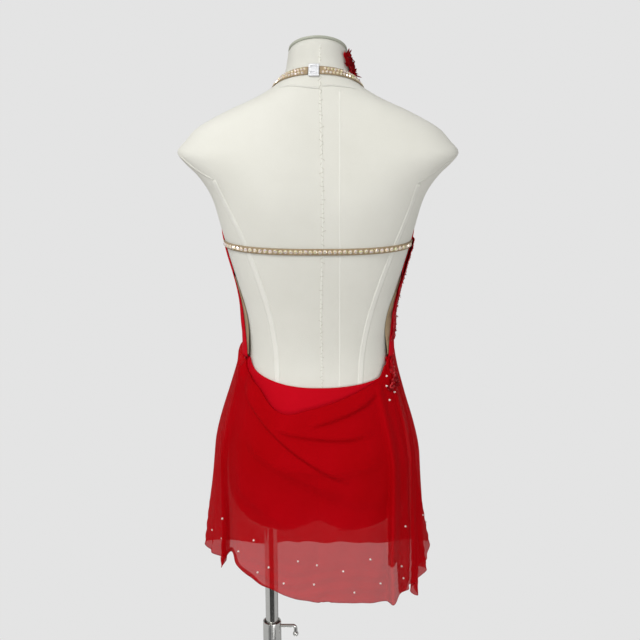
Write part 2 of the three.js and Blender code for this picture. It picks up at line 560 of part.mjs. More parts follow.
// The bolt that clamps the pole: a rod bent down to a ball.
function lockBolt() {
  const z = fromFloor(TUBE.top) - BOLT.drop;
  const start = POLE.x - POLE.radius - SEAM_GAP;
  const corner = POLE.x - TUBE.radius - BOLT.reach;
  const path = new THREE.CurvePath();
  const at = (x, height) => new THREE.Vector3(x, POLE.y, height);
  path.add(new THREE.LineCurve3(at(start, z), at(corner + BOLT.bend, z)));
  path.add(new THREE.QuadraticBezierCurve3(at(corner + BOLT.bend, z), at(corner, z), at(corner, z - BOLT.bend)));
  path.add(new THREE.LineCurve3(at(corner, z - BOLT.bend), at(corner, z - BOLT.hang)));
  const sides = 12;
  const steps = 12;
  const points = [];
  for (let j = 0; j <= steps; j++) {
    const along = path.getTangentAt(j / steps);
    const side = new THREE.Vector3(0, 1, 0);
    const up = new THREE.Vector3().crossVectors(along, side);
    for (let i = 0; i < sides; i++) {
      const turn = (2 * Math.PI * i) / sides;
      points.push(path.getPointAt(j / steps).addScaledVector(side, BOLT.radius * Math.cos(turn))
        .addScaledVector(up, BOLT.radius * Math.sin(turn)));
    }
  }
  points.push(path.getPointAt(0), path.getPointAt(1));
  const index = [];
  const [first, final] = [points.length - 2, points.length - 1];
  for (let i = 0; i < sides; i++) {
    const next = (i + 1) % sides;
    for (let j = 0; j < steps; j++) {
      const [a, b, c, d] = [i + j * sides, next + j * sides, next + (j + 1) * sides, i + (j + 1) * sides];
      index.push(a, b, c, a, c, d);
    }
    index.push(first, next, i, final, steps * sides + i, steps * sides + next);
  }
  const ball = new THREE.SphereGeometry(BOLT.ball, 16, 10).translate(corner, POLE.y, z - BOLT.hang);
  return geometryFrom(solidFrom(facingOut(points, index)).add(solidFrom(ball)));
}
addNode(stand, "lock_bolt", lockBolt(), CHROME);

addNode(stand, "base_plate", turned([
  [0, 0], [BASE.radius, 0], [BASE.radius, BASE.thick - BASE.chamfer],
  [BASE.radius - BASE.chamfer, BASE.thick], [0, BASE.thick],
], 0, 0, 64), CHROME);

export default root;
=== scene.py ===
# Lyrical dance dress with an open back, worn on a limbless dress form with its stand.
import math
import random
import bmesh
import bpy
import numpy as np
from mathutils import Matrix, Vector


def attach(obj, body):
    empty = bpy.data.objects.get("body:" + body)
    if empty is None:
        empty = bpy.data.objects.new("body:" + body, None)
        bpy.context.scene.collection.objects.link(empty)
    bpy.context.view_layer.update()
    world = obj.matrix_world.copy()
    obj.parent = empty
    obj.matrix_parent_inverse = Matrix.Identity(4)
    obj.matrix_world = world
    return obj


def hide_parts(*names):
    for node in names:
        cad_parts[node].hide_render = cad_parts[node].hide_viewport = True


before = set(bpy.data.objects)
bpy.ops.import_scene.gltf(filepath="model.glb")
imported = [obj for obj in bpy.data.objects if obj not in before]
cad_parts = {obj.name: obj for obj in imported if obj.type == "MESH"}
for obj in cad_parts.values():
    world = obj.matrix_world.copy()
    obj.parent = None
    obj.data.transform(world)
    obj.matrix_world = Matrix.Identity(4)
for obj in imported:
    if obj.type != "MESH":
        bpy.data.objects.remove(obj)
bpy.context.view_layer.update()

print("frame loaded")

def table(columns, *rows):
    return [dict(zip(columns.split(), row)) for row in rows]


def mix(first, second, t):
    return first + (second - first) * t


def linked(name, data):
    thing = bpy.data.objects.new(name, data)
    bpy.context.collection.objects.link(thing)
    return thing


# The camera stands where the photo was taken.
camera = {"place": (-0.003, 1.517, 1.508), "down": 15.4, "focal": 1030.0, "frame": 640, "sensor": 36.0, "reach": 60}


def addCamera():
    data = bpy.data.cameras.new("camera")
    data.sensor_width = camera["sensor"]
    data.lens = camera["focal"] / camera["frame"] * camera["sensor"]
    data.clip_end = camera["reach"]
    eye = linked("camera", data)
    eye.location = camera["place"]
    eye.rotation_euler = (math.radians(90 - camera["down"]), 0, math.pi)
    bpy.context.scene.camera = eye


addCamera()


# Nodes of a material or of the room.
def addNode(owner, kind, **settings):
    node = owner.node_tree.nodes.new(kind)
    for key, value in settings.items():
        if hasattr(node, key):
            setattr(node, key, value)
        else:
            node.inputs[key].default_value = value
    return node


def join(owner, source, target):
    owner.node_tree.links.new(source, target)


def mathNode(owner, operation, first, second=None):
    node = addNode(owner, "ShaderNodeMath", operation=operation)
    for slot, value in enumerate((first, second)):
        if isinstance(value, (int, float)):
            node.inputs[slot].default_value = value
        elif value is not None:
            join(owner, value, node.inputs[slot])
    return node.outputs[0]


def mapped(owner, value, ends):
    node = addNode(owner, "ShaderNodeMapRange", **ends)
    join(owner, value, node.inputs["Value"])
    return node.outputs["Result"]


def rampOn(owner, factor, stops):
    ramp = addNode(owner, "ShaderNodeValToRGB")
    marks = ramp.color_ramp.elements
    while len(marks) < len(stops):
        marks.new(0.5)
    for mark, (at, hue) in zip(marks, stops):
        mark.position = at
        mark.color = (*hue, 1)
    join(owner, factor, ramp.inputs["Fac"])
    return ramp.outputs["Color"]


def objectNoise(material, scale, detail, **more):
    places = addNode(material, "ShaderNodeTexCoord")
    noise = addNode(material, "ShaderNodeTexNoise", Scale=scale, Detail=detail, **more)
    join(material, places.outputs["Object"], noise.inputs["Vector"])
    return noise.outputs["Fac"]


# The room is pale with soft light.
studio = {"backdrop": 0.775, "room": 0.56, "floor": 0.8, "floorRadius": 0.8, "exposure": 0.0}
studioLights = table(
    "name place aim size power", ("keyLight", (1.3, 2.0, 3.3), (0, 0, 1.1), (1.2, 1.2), 54.0),
    ("fillLight", (-1.4, 3.0, 0.75), (0, 0, 1.0), (1.6, 1.4), 28.0))
# The room from its right side to its left: a dark doorway and a dark corner give the chrome its streaks.
roomBands = table(
    "at light", (0.0, 0.9), (0.16, 0.9), (0.20, 0.12), (0.27, 0.12), (0.31, 1.05), (0.62, 1.05), (0.66, 0.3),
    (0.70, 0.3), (0.74, 1.05), (1.0, 1.05))
# Low down behind the camera the room is dark; a round pole shows it as a dark stripe.
darkLow = {"Y": (0.66, 0.76), "Z": (-0.12, -0.26), "keep": 0.1}


def addAreaLight(name, place, aim, size, power):
    data = bpy.data.lights.new(name, "AREA")
    data.shape = "RECTANGLE"
    data.size, data.size_y = size
    data.energy = power
    lamp = linked(name, data)
    lamp.location = place
    lamp.rotation_euler = (Vector(aim) - Vector(place)).to_track_quat("-Z", "Y").to_euler()


def addStudio():
    world = bpy.data.worlds.new("paleRoom")
    world.use_nodes = True
    room = world.node_tree.nodes["Background"]
    split = addNode(world, "ShaderNodeSeparateXYZ")
    join(world, addNode(world, "ShaderNodeTexCoord").outputs["Generated"], split.inputs[0])
    across = mapped(world, split.outputs["X"], {"From Min": -1})
    bands = rampOn(world, across, [(band["at"], (band["light"],) * 3) for band in roomBands])
    join(world, bands, room.inputs["Color"])
    towards = [mapped(world, split.outputs[axis], dict(zip(("From Min", "From Max"), darkLow[axis]))) for axis in "YZ"]
    dim = mapped(world, mathNode(world, "MULTIPLY", *towards),
                 {"To Min": studio["room"], "To Max": studio["room"] * darkLow["keep"]})
    join(world, dim, room.inputs["Strength"])
    backdrop = addNode(world, "ShaderNodeBackground", Color=(1, 1, 1, 1), Strength=studio["backdrop"])
    seen = addNode(world, "ShaderNodeLightPath")
    either = addNode(world, "ShaderNodeMixShader")
    for slot, source in enumerate((seen.outputs["Is Camera Ray"], room.outputs[0], backdrop.outputs[0])):
        join(world, source, either.inputs[slot])
    join(world, either.outputs[0], world.node_tree.nodes["World Output"].inputs["Surface"])
    bpy.context.scene.world = world
    for light in studioLights:
        addAreaLight(**light)
    bpy.context.scene.view_settings.view_transform = "Standard"
    bpy.context.scene.view_settings.exposure = studio["exposure"]


addStudio()


def newMaterial(name, settings):
    material = bpy.data.materials.new(name)
    material.use_nodes = True
    shader = material.node_tree.nodes["Principled BSDF"]
    for socket, value in settings.items():
        shader.inputs[socket].default_value = value
    return material, shader


def colourBy(material, shader, factor, dark, light):
    join(material, rampOn(material, factor, [(0.3, dark), (0.7, light)]), shader.inputs["Base Color"])


def bumpOnto(material, shader, height, distance):
    bump = addNode(material, "ShaderNodeBump", Strength=1.0, Distance=distance)
    join(material, height, bump.inputs["Height"])
    join(material, bump.outputs["Normal"], shader.inputs["Normal"])


# Woven or knitted cloth: crossing threads on the piece's own UV map, which is laid out in metres,
# and a cloudy change of colour on Object coordinates.
clothShares = {"cloud": 0.75, "thread": 0.10, "slub": 0.25, "slubScale": 900.0}


def clothMaterial(look):
    material, shader = newMaterial(look["name"], {
        "Roughness": look["rough"], "Sheen Weight": look["sheen"], "Sheen Roughness": 0.5,
        "Specular IOR Level": look["shine"], "Alpha": look.get("alpha", 1.0)})
    split = addNode(material, "ShaderNodeSeparateXYZ")
    join(material, addNode(material, "ShaderNodeTexCoord").outputs["UV"], split.inputs[0])
    threads = [mathNode(material, "SINE", mathNode(material, "MULTIPLY", split.outputs[axis], 2 * math.pi / pitch))
               for axis, pitch in enumerate(look["pitch"])]
    weave = mathNode(material, look.get("cross", "MULTIPLY"), *threads)
    cloud = objectNoise(material, look["cloudScale"], 4.0, Roughness=0.6)
    slub = objectNoise(material, clothShares["slubScale"], 2.0)
    cloudy, threaded, slubby = (mathNode(material, "MULTIPLY", factor, clothShares[share]) for factor, share in (
        (cloud, "cloud"), (weave, "thread"), (slub, "slub")))
    shade = mathNode(material, "ADD", cloudy, mathNode(material, "ADD", threaded, slubby))
    colourBy(material, shader, shade, look["dark"], look["light"])
    bumpOnto(material, shader, mathNode(material, "ADD", weave, slub), look["relief"])
    return material


def chromeMaterial():
    material, shader = newMaterial("polishedChrome", {"Metallic": 1.0, "Roughness": 0.12})
    smear = objectNoise(material, 9.0, 5.0, Roughness=0.7)
    colourBy(material, shader, smear, (0.60, 0.60, 0.575), (0.74, 0.735, 0.72))
    join(material, mapped(material, smear, {"To Min": 0.07, "To Max": 0.2}), shader.inputs["Roughness"])
    bumpOnto(material, shader, objectNoise(material, 240.0, 2.0), 0.00004)
    return material


# Cut stones and sequins: the hue changes from one to the next.
def stoneMaterial(name, hues, settings):
    material, shader = newMaterial(name, settings)
    stops = [(mix(0.32, 0.68, index / (len(hues) - 1)), hue) for index, hue in enumerate(hues)]
    join(material, rampOn(material, objectNoise(material, 260.0, 1.0), stops), shader.inputs["Base Color"])
    return material


# The mesh of the front piece is a little denser, in its gathers.
clothLooks = table(
    "name dark light rough sheen shine pitch cloudScale relief alpha cross",
    ("creamCanvas", (0.80, 0.79, 0.71), (0.85, 0.84, 0.765), 0.95, 0.1, 0.15, (0.0011, 0.0013), 9.0, 0.00012),
    # The seam canvas is a paler copy of the cover canvas: painted highlight on the raised seam strips.
    ("foldedCanvas", (0.83, 0.82, 0.745), (0.87, 0.86, 0.79), 0.9, 0.1, 0.15, (0.0011, 0.0013), 60.0, 0.0001),
    # The thread is darker than the canvas: partly its own colour, partly painted shade of the stitch marks.
    ("canvasThread", (0.58, 0.56, 0.48), (0.72, 0.70, 0.61), 0.8, 0.0, 0.2, (0.0006, 0.0006), 300.0, 0.00005),
    ("redStretchKnit", (0.5225, 0.0004, 0.0066), (0.608, 0.0008, 0.0114), 0.7, 0.0, 0.06, (0.0009, 0.0007), 12.0,
     0.00006),
    ("redPowerMesh", (0.528, 0.0002, 0.0026), (0.616, 0.0004, 0.0062), 0.75, 0.0, 0.04, (0.0014, 0.0014), 7.0,
     0.00012, 0.65),
    ("redMeshGathered", (0.528, 0.0002, 0.0026), (0.616, 0.0004, 0.0062), 0.75, 0.0, 0.04, (0.0014, 0.0014), 7.0,
     0.00012, 0.71),
    ("redLace", (0.42, 0.0005, 0.004), (0.75, 0.002, 0.012), 0.6, 0.0, 0.12, (0.0022, 0.0019), 190.0, 0.0004, 1.0,
     "ADD"),
    ("nudeStretch", (0.344, 0.2494, 0.1419), (0.4214, 0.3182, 0.1978), 0.6, 0.1, 0.2, (0.0009, 0.0009), 30.0, 0.00008),
    ("neckCapCloth", (0.42, 0.44, 0.36), (0.52, 0.53, 0.45), 0.6, 0.0, 0.3, (0.004, 0.004), 40.0, 0.00006))
cloths = {look["name"]: clothMaterial(look) for look in clothLooks}
chrome = chromeMaterial()
rainbowHues = ((0.86, 0.88, 0.42), (0.70, 0.54, 0.66), (1.0, 0.96, 0.78), (0.92, 0.66, 0.46), (0.80, 0.86, 0.50))
sequinHues = ((0.30, 0.0, 0.003), (0.80, 0.01, 0.02), (0.50, 0.001, 0.006))
pearlHues = ((0.86, 0.66, 0.60), (1.0, 0.95, 0.90), (0.95, 0.82, 0.78))
rainbowStone = stoneMaterial("rainbowStone", rainbowHues, {"Metallic": 0.35, "Roughness": 0.1, "Coat Weight": 0.6})
redSequin = stoneMaterial("redSequin", sequinHues, {"Metallic": 0.2, "Roughness": 0.3, "Coat Weight": 0.25})
pearlStone = stoneMaterial("pearlStone", pearlHues, {"Metallic": 0.1, "Roughness": 0.12, "Coat Weight": 0.6})
clearPlastic, _ = newMaterial("clearPlastic", {
    "Base Color": (0.94, 0.95, 0.97, 1), "Roughness": 0.12, "Transmission Weight": 0.35, "Coat Weight": 0.4})
print("materials made")

# The shapes, in millimetres from the waist, as the solids have them.
waistHeight = 1050.0
clothGap = {"bodice": 2.8, "lining": 0.7, "skirt": 6.0}
planKeys = ("half", "front", "back", "square")
formSections = table(
    "z half front back square",
    (436, 42, 44, 44, 2.0), (421, 44, 46, 47, 2.0), (405, 47.5, 48, 51, 2.0), (389, 57, 52, 57, 2.0),
    (376, 72, 55, 62, 2.0), (362, 101, 60, 68, 2.0), (350, 133, 64, 73, 2.1), (330, 174, 69, 79, 2.2),
    (312, 192, 73, 83, 2.3), (296, 205, 76, 85, 2.35), (282, 196, 79, 87, 2.4), (266, 179, 83, 88, 2.5),
    (239, 160, 90, 89, 2.5), (184, 143, 97, 85, 2.4), (148, 134, 91, 80, 2.3), (101, 121, 84, 73, 2.3),
    (60, 112, 79, 68, 2.25), (0, 106, 78, 67, 2.25), (-30, 109, 81, 73, 2.25), (-73, 118, 87, 86, 2.3),
    (-123, 130, 90, 98, 2.35), (-173, 137, 88, 104, 2.4), (-225, 137, 82, 99, 2.45), (-250, 134, 78, 92, 2.5),
    (-264, 129, 74, 86, 2.5), (-273, 120, 67, 78, 2.5))
neckTilt = {"slope": 0.46, "low": 300, "high": 385}
mounds = table(
    "side x z across along out", (1, 68, 182, 36, 44, 31), (-1, 60, -172, 46, 46, 8), (-1, 74, 236, 42, 42, 5))
underside = {"z": -280, "notch": 22, "width": 19, "low": -200, "high": -272}


def curveAt(rows, key, column, at):
    rows = sorted(rows, key=lambda row: row[key])
    xs = np.array([row[key] for row in rows], float)
    ys = np.array([row[column] for row in rows], float)
    slopes = np.diff(ys) / np.diff(xs)
    lean = np.concatenate([slopes[:1], (slopes[:-1] + slopes[1:]) / 2, slopes[-1:]])
    at = np.asarray(at, float)
    i = np.clip(np.searchsorted(xs, at, side="right") - 1, 0, len(xs) - 2)
    width = xs[i + 1] - xs[i]
    t = np.clip((at - xs[i]) / width, 0, 1)
    return (ys[i] + t * t * (3 - 2 * t) * (ys[i + 1] - ys[i])
            + width * t * (1 - t) * ((1 - t) * lean[i] - t * lean[i + 1]))


def straightAt(rows, key, column, at):
    return np.interp(at, [row[key] for row in rows], [row[column] for row in rows])


def smooth(low, high, at):
    t = np.clip((at - low) / (high - low), 0, 1)
    return t * t * (3 - 2 * t)


def bell(off, spread):
    return np.exp(-(off ** 2) / (2 * spread ** 2))


def planRadius(angle, half, front, back, square):
    across = np.abs(np.sin(angle)) / half
    along = np.abs(np.cos(angle)) / np.where(np.cos(angle) > 0, front, back)
    return (across ** square + along ** square) ** (-1 / square)


def notchAt(x, z):
    return underside["notch"] * bell(x, underside["width"]) * smooth(underside["low"], underside["high"], z)


def skin(angle, z):
    angle, z = np.broadcast_arrays(np.asarray(angle, float), np.asarray(z, float))
    radius = planRadius(angle, *(curveAt(formSections, "z", key, z) for key in planKeys))
    x, y = radius * np.sin(angle), -radius * np.cos(angle)
    for mound in mounds:
        near = bell(np.abs(x) - mound["x"], mound["across"]) * bell(z - mound["z"], mound["along"])
        y = y - mound["side"] * mound["out"] * near * smooth(0, 0.7, mound["side"] * np.cos(angle))
    height = z + neckTilt["slope"] * smooth(neckTilt["low"], neckTilt["high"], z) * y + notchAt(x, z)
    return np.stack([x, y, height], -1)


# The steps are in radians and millimetres; over the form, which is smooth, they are wider.
skinSteps = (0.02, 1.5)


def outwardOf(surface, a, b, stepA=0.01, stepB=1.0):
    out = np.cross(surface(a + stepA, b) - surface(a - stepA, b), surface(a, b + stepB) - surface(a, b - stepB))
    return out / np.linalg.norm(out, axis=-1, keepdims=True)


def overSkin(angle, z, away):
    return skin(angle, z) + outwardOf(skin, angle, z, *skinSteps) * np.asarray(away)[..., None]


def toMetres(points):
    return (np.asarray(points, float) + (0, 0, waistHeight)) / 1000


print("shapes ready")


def newShape():
    bm = bmesh.new()
    bm.loops.layers.uv.new("cloth")
    return bm


def meshObject(name, bm):
    mesh = bpy.data.meshes.new(name)
    bm.to_mesh(mesh)
    bm.free()
    return linked(name, mesh)


def finishPiece(name, bm, material, body="form", smoothShaded=True):
    piece = meshObject(name, bm)
    piece.data.materials.append(material)
    for face in piece.data.polygons:
        face.use_smooth = smoothShaded
    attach(piece, body)
    return piece


# Hides the CAD node that a piece stands for.
def standsFor(piece, node, slot, **cut):
    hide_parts(node)


# A grid whose x and y become u and v from 0 to 1, with its UV map in metres.
def gridMesh(columns, rows, size):
    bm = newShape()
    layer = bm.loops.layers.uv["cloth"]
    bmesh.ops.create_grid(bm, x_segments=columns, y_segments=rows, size=0.5, calc_uvs=True)
    for face in bm.faces:
        for loop in face.loops:
            loop[layer].uv = (loop[layer].uv.x * size[0], loop[layer].uv.y * size[1])
    return bm


def moveVerts(bm, surface):
    grid = np.array([vert.co for vert in bm.verts]) + 0.5
    for vert, place in zip(bm.verts, toMetres(surface(grid[:, 0], grid[:, 1]))):
        vert.co = place


def weld(bm):
    bmesh.ops.remove_doubles(bm, verts=bm.verts, dist=0.00001)
    bmesh.ops.recalc_face_normals(bm, faces=bm.faces)


# Pushes faces out of a shape, and returns the faces that lead.
def pushOn(bm, faces, move):
    grown = bmesh.ops.extrude_face_region(bm, geom=faces)["geom"]
    move([item for item in grown if isinstance(item, bmesh.types.BMVert)])
    return [item for item in grown if isinstance(item, bmesh.types.BMFace)]


# Turns the z axis into a direction.
def facing(direction):
    return Vector(direction).to_track_quat("Z", "Y").to_matrix().to_4x4()


def thicken(piece, thick, offset=1.0):
    wall = piece.modifiers.new("wall", "SOLIDIFY")
    wall.thickness = thick / 1000
    wall.offset = offset
    wall.use_even_offset = False


stretchThick = 0.9
worn = {"held": "stretched", "rests_on": ["dress_form"]}


def clothPiece(name, surface, grid, size, cloth, thick=stretchThick):
    bm = gridMesh(*grid, size)
    moveVerts(bm, surface)
    piece = finishPiece(name, bm, cloths[cloth])
    thicken(piece, thick)
    return piece


# The surface between two side edges, in degrees, and a top and a bottom, which are heights. An edge is a number,
# or for one that bends a function.
def between(over, left, right, top, bottom, away, crowd=1.0):
    def edge(line, at):
        return line(at) if callable(line) else line + 0 * at

    def surface(u, v):
        rough = mix(edge(left, 0 * u), edge(right, 0 * u), u)
        z = mix(edge(bottom, rough), edge(top, rough), v ** crowd)
        return over(np.radians(mix(edge(left, z), edge(right, z), u)), z, away + 0 * u)
    return surface


# The form.
boreSizes = {"x": 76.5, "radius": 10.7, "top": -206.0, "bottom": -310.0}
formBuild = {"columns": 128, "rows": 150, "top": 436, "bottom": -274, "closeTop": 0.035, "closeBottom": 0.07}


def formSurface(u, v):
    angle = 2 * math.pi * u
    angle = np.arctan2(1.25 * np.sin(angle), np.cos(angle))
    low, high = formBuild["closeBottom"], 1 - formBuild["closeTop"]
    z = mix(formBuild["bottom"], formBuild["top"], np.clip((v - low) / (high - low), 0, 1))
    points = skin(angle, z)
    under = np.clip((low - v) / low, 0, 1)[..., None]  # 0 at the bottom ring, 1 at the middle of the underside
    shrink = 1 - under ** 1.3
    drop = (underside["z"] - formBuild["bottom"]) * np.clip(under * 5, 0, 1) ** 0.6
    flat = points.copy()
    flat[..., :2] *= shrink
    flat[..., 2:] = formBuild["bottom"] + drop + notchAt(flat[..., :1], np.full_like(drop, underside["z"]))
    points = np.where(under > 0, flat, points)
    over = np.clip((v - high) / (1 - high), 0, 1)[..., None]
    middle = (skin(0, formBuild["top"]) + skin(math.pi, formBuild["top"])) / 2
    return np.where(over > 0, mix(points, middle, over), points)


# The hole in the underside that the pole runs up into.
def boreOut(form):
    bm = bmesh.new()
    top, bottom, radius = boreSizes["top"], boreSizes["bottom"], boreSizes["radius"] / 1000
    bmesh.ops.create_cone(bm, cap_ends=True, segments=48, radius1=radius, radius2=radius, depth=(top - bottom) / 1000,
                          matrix=Matrix.Translation(toMetres((boreSizes["x"], 0, (top + bottom) / 2))))
    cutter = meshObject("bore", bm)
    cut = form.modifiers.new("bore", "BOOLEAN")
    cut.object = cutter
    cut.operation = "DIFFERENCE"
    cut.solver = "EXACT"
    bpy.context.view_layer.update()
    bored = bpy.data.meshes.new_from_object(form.evaluated_get(bpy.context.evaluated_depsgraph_get()))
    form.modifiers.clear()
    form.data = bored
    bpy.data.objects.remove(cutter)
    form.data.set_sharp_from_angle(angle=math.radians(50))


def makeForm():
    bm = gridMesh(formBuild["columns"], formBuild["rows"], (0.8, 0.8))
    moveVerts(bm, formSurface)
    weld(bm)
    form = finishPiece("dress_form", bm, cloths["creamCanvas"])
    boreOut(form)
    standsFor(form, "form", "form_cloth")


makeForm()
print("form made")

# The stand.
poleSizes = {"x": 76.5, "radius": 10.4, "wall": 1.6, "top": -210, "bottom": -817}
tubeSizes = {"radius": 15.0, "rim": -477, "funnel": 13.6, "funnelDeep": 6.0, "bore": 10.9, "foot": 34.0,
             "footHigh": 5.0}
boltSizes = {"radius": 3.0, "drop": 10.0, "reach": 24.0, "bend": 5.0, "hang": 15.0, "ball": 4.7, "rings": 8}
baseSizes = {"radius": 170.0, "thick": 8.0, "chamfer": 1.5}


def turnedPiece(name, profile, centreX, body, steps):
    bm = newShape()
    verts = [bm.verts.new(((centreX + radius) / 1000, 0, z / 1000)) for radius, z in profile]
    edges = [bm.edges.new(pair) for pair in zip(verts, verts[1:])]
    bmesh.ops.spin(bm, geom=verts + edges, cent=(centreX / 1000, 0, 0), axis=(0, 0, 1), dvec=(0, 0, 0),
                   angle=2 * math.pi, steps=steps, use_merge=True, use_normal_flip=False, use_duplicate=False)
    weld(bm)
    piece = finishPiece(name, bm, chrome, body)
    piece.data.set_sharp_from_angle(angle=math.radians(32))
    return piece


def makeStand():
    pole, tube, base = poleSizes, tubeSizes, baseSizes
    inner, outer, edge = pole["radius"] - pole["wall"], pole["radius"], 0.4
    low, high = waistHeight + pole["bottom"], waistHeight + pole["top"]
    poleProfile = [(inner, low), (outer - edge, low), (outer, low + edge), (outer, high - edge), (outer - edge, high),
                   (inner, high), (inner, low)]
    bore, funnel, radius, wide = tube["bore"], tube["funnel"], tube["radius"], tube["foot"]
    foot, rim = base["thick"] + 0.3, waistHeight + tube["rim"]
    step = foot + tube["footHigh"]
    tubeProfile = [(bore, foot), (wide, foot), (wide, foot + 3.6), (wide - 0.5, foot + 4.5), (wide - 1.6, step),
                   (radius + 2.2, step), (radius + 0.5, step + 0.6), (radius, step + 2.2), (radius, rim - 1.2),
                   (radius - 0.35, rim - 0.35), (radius - 1.0, rim), (funnel, rim), (funnel - 0.6, rim - 0.6),
                   (bore, rim - tube["funnelDeep"]), (bore, foot)]
    radius, thick, chamfer, edge = base["radius"], base["thick"], base["chamfer"], 0.5
    plateProfile = [(0, 0), (radius - edge, 0), (radius, edge), (radius, thick - chamfer),
                    (radius - edge, thick - edge), (radius - chamfer, thick), (0, thick)]
    for node, profile, centreX, body, steps in (("pole", poleProfile, pole["x"], "pole", 64),
                                                ("outer_tube", tubeProfile, pole["x"], "stand", 64),
                                                ("base_plate", plateProfile, 0, "stand", 128)):
        standsFor(turnedPiece("chrome_" + node, profile, centreX, body, steps), node, "chrome")


def makeBolt():
    pole, tube, bolt = poleSizes, tubeSizes, boltSizes
    z = waistHeight + tube["rim"] - bolt["drop"]
    start = pole["x"] - pole["radius"] - 0.3
    corner = pole["x"] - tube["radius"] - bolt["reach"]
    bm = newShape()
    at = Matrix.Translation((start / 1000, 0, z / 1000)) @ Matrix.Rotation(math.pi / 2, 4, "Y")
    ring = bmesh.ops.create_circle(bm, cap_ends=True, segments=20, radius=bolt["radius"] / 1000, matrix=at)
    end = list({face for vert in ring["verts"] for face in vert.link_faces})
    straight, hang = (corner + bolt["bend"] - start) / 1000, (bolt["bend"] - bolt["hang"]) / 1000
    centre = ((corner + bolt["bend"]) / 1000, 0, (z - bolt["bend"]) / 1000)
    turnStep = Matrix.Rotation(-math.pi / 2 / bolt["rings"], 3, "Y")
    end = pushOn(bm, end, lambda verts: bmesh.ops.translate(bm, verts=verts, vec=(straight, 0, 0)))
    for _ in range(bolt["rings"]):
        end = pushOn(bm, end, lambda verts: bmesh.ops.rotate(bm, verts=verts, cent=centre, matrix=turnStep))
    pushOn(bm, end, lambda verts: bmesh.ops.translate(bm, verts=verts, vec=(0, 0, hang)))
    bmesh.ops.create_uvsphere(bm, u_segments=28, v_segments=18, radius=bolt["ball"] / 1000,
                              matrix=Matrix.Translation((corner / 1000, 0, (z - bolt["hang"]) / 1000)))
    bmesh.ops.recalc_face_normals(bm, faces=bm.faces)
    piece = finishPiece("chrome_lock_bolt", bm, chrome, "lock")
    piece.data.set_sharp_from_angle(angle=math.radians(40))
    standsFor(piece, "lock_bolt", "chrome")


makeStand()
makeBolt()
print("stand made")

# What lies on the form.
sideEdgeRows = table(
    "z angle", (380, 80), (370, 62), (356, 46), (330, 38), (290, 41), (255, 50), (222, 64), (195, 80), (176, 91),
    (160, 94), (110, 98), (60, 101), (20, 103), (-20, 106))
neckBand = {"z": 386, "width": 11.8, "gap": 0.7, "thick": 1.5, "clasp": 174.6, "opening": 7.6}
backStrap = {"z": 163, "width": 9.5, "gap": 0.7, "thick": 1.5, "end": 96}
waistSeam = -10
sideSeam = 106
briefTop = {"middle": -43, "left": -20, "right": -33, "reach": 74, "corner": 10, "narrow": 16}
legRows = table("angle z", (0, -270), (19, -268), (35, -240), (60, -210), (90, -206), (106, -229), (124, -258),
                (142, -269), (160, -270), (180, -270))
liningShow = {"top": 112, "bottom": -6, "wide": 5.5, "tucked": 10, "carried": 0.75, "left": 0.55}
# How far the bodice stands off the form beside the waist, where the two sides pull on it.
bodiceLoose = {"out": 6.6, "z": 4, "along": 40, "angle": 97, "around": 20}


def sideEdge(z):
    return curveAt(sideEdgeRows, "z", "angle", z)


def legLine(degrees):
    return curveAt(legRows, "angle", "z", np.abs(degrees))


def backEdge(degrees):
    side = (degrees - 180) / briefTop["reach"]
    end = np.where(side < 0, briefTop["left"], briefTop["right"])
    corner = briefTop["corner"] * np.abs(side) ** briefTop["narrow"]
    return mix(briefTop["middle"], end, np.abs(side) ** 2.6) + corner


def liningBow(z):
    return np.sin(np.pi * (liningShow["top"] - z) / (liningShow["top"] - liningShow["bottom"])) ** 1.5


# Shallow pulls in the stretch cloth run from the bust to the sides and gather at the waist.
def overBodice(angle, z, away):
    degrees = np.abs(np.degrees(angle))
    ripple = 0.9 * np.sin(angle * 3 + z / 17.0) * bell(z - 70, 60) * bell(degrees - 63, 29)
    pull = 0.7 * np.sin(z / 9.0 + degrees / 41) * bell(z - 8, 26)
    loose = bodiceLoose["out"] * bell(z - bodiceLoose["z"], bodiceLoose["along"])
    loose = loose * bell(degrees - bodiceLoose["angle"], bodiceLoose["around"])
    return overSkin(angle, z, away + np.clip(ripple + pull, -0.4, 1.6) + loose)


# The bodice carries the lining off the form, down to nothing at the lining's free edge.
def overLining(angle, z, away):
    degrees = np.abs(np.degrees(angle))
    loose = bodiceLoose["out"] * bell(z - bodiceLoose["z"], bodiceLoose["along"]) * liningShow["carried"]
    free = smooth(-1, liningShow["wide"], degrees - sideEdge(z))
    return overSkin(angle, z, away + loose * (1 - free))


def makeBodice():
    top = neckBand["z"] - neckBand["width"] / 2 - 0.3
    flatEdge, onLining, onForm = (
        between(over, lambda z: -sideEdge(z), sideEdge, top, waistSeam, away)
        for over, away in ((overBodice, clothGap["bodice"]), (overLining, 2.0), (overSkin, 0.5)))

    def surface(u, v):
        hug = (1 - smooth(0, 0.03, u) * smooth(0, 0.03, 1 - u))[..., None]
        free, lined, bare = flatEdge(u, v), onLining(u, v), onForm(u, v)
        above = smooth(liningShow["top"] + 1, liningShow["top"] + 12, free[..., 2:])
        return mix(free, mix(lined, bare, above), hug * mix(0.7, 1.0, above))

    flat = (0.34, 0.39)
    bodice = clothPiece("halter_bodice", surface, (110, 120), flat, "redStretchKnit")
    standsFor(bodice, "bodice", "red_stretch", flat=flat, area=0.098, **worn)


def makeLining(name, side, wide):
    def tucked(z):
        return side * (sideEdge(z) - liningShow["tucked"])

    def shown(z):
        return side * (sideEdge(z) + wide * liningBow(z))

    left, right = (tucked, shown) if side > 0 else (shown, tucked)
    surface = between(overLining, left, right, liningShow["top"], liningShow["bottom"], clothGap["lining"])
    flat = (0.03, 0.12)
    lining = clothPiece("nude_" + name, surface, (12, 48), flat, "nudeStretch")
    standsFor(lining, name, "nude_stretch", flat=flat, area=0.0033, **worn)


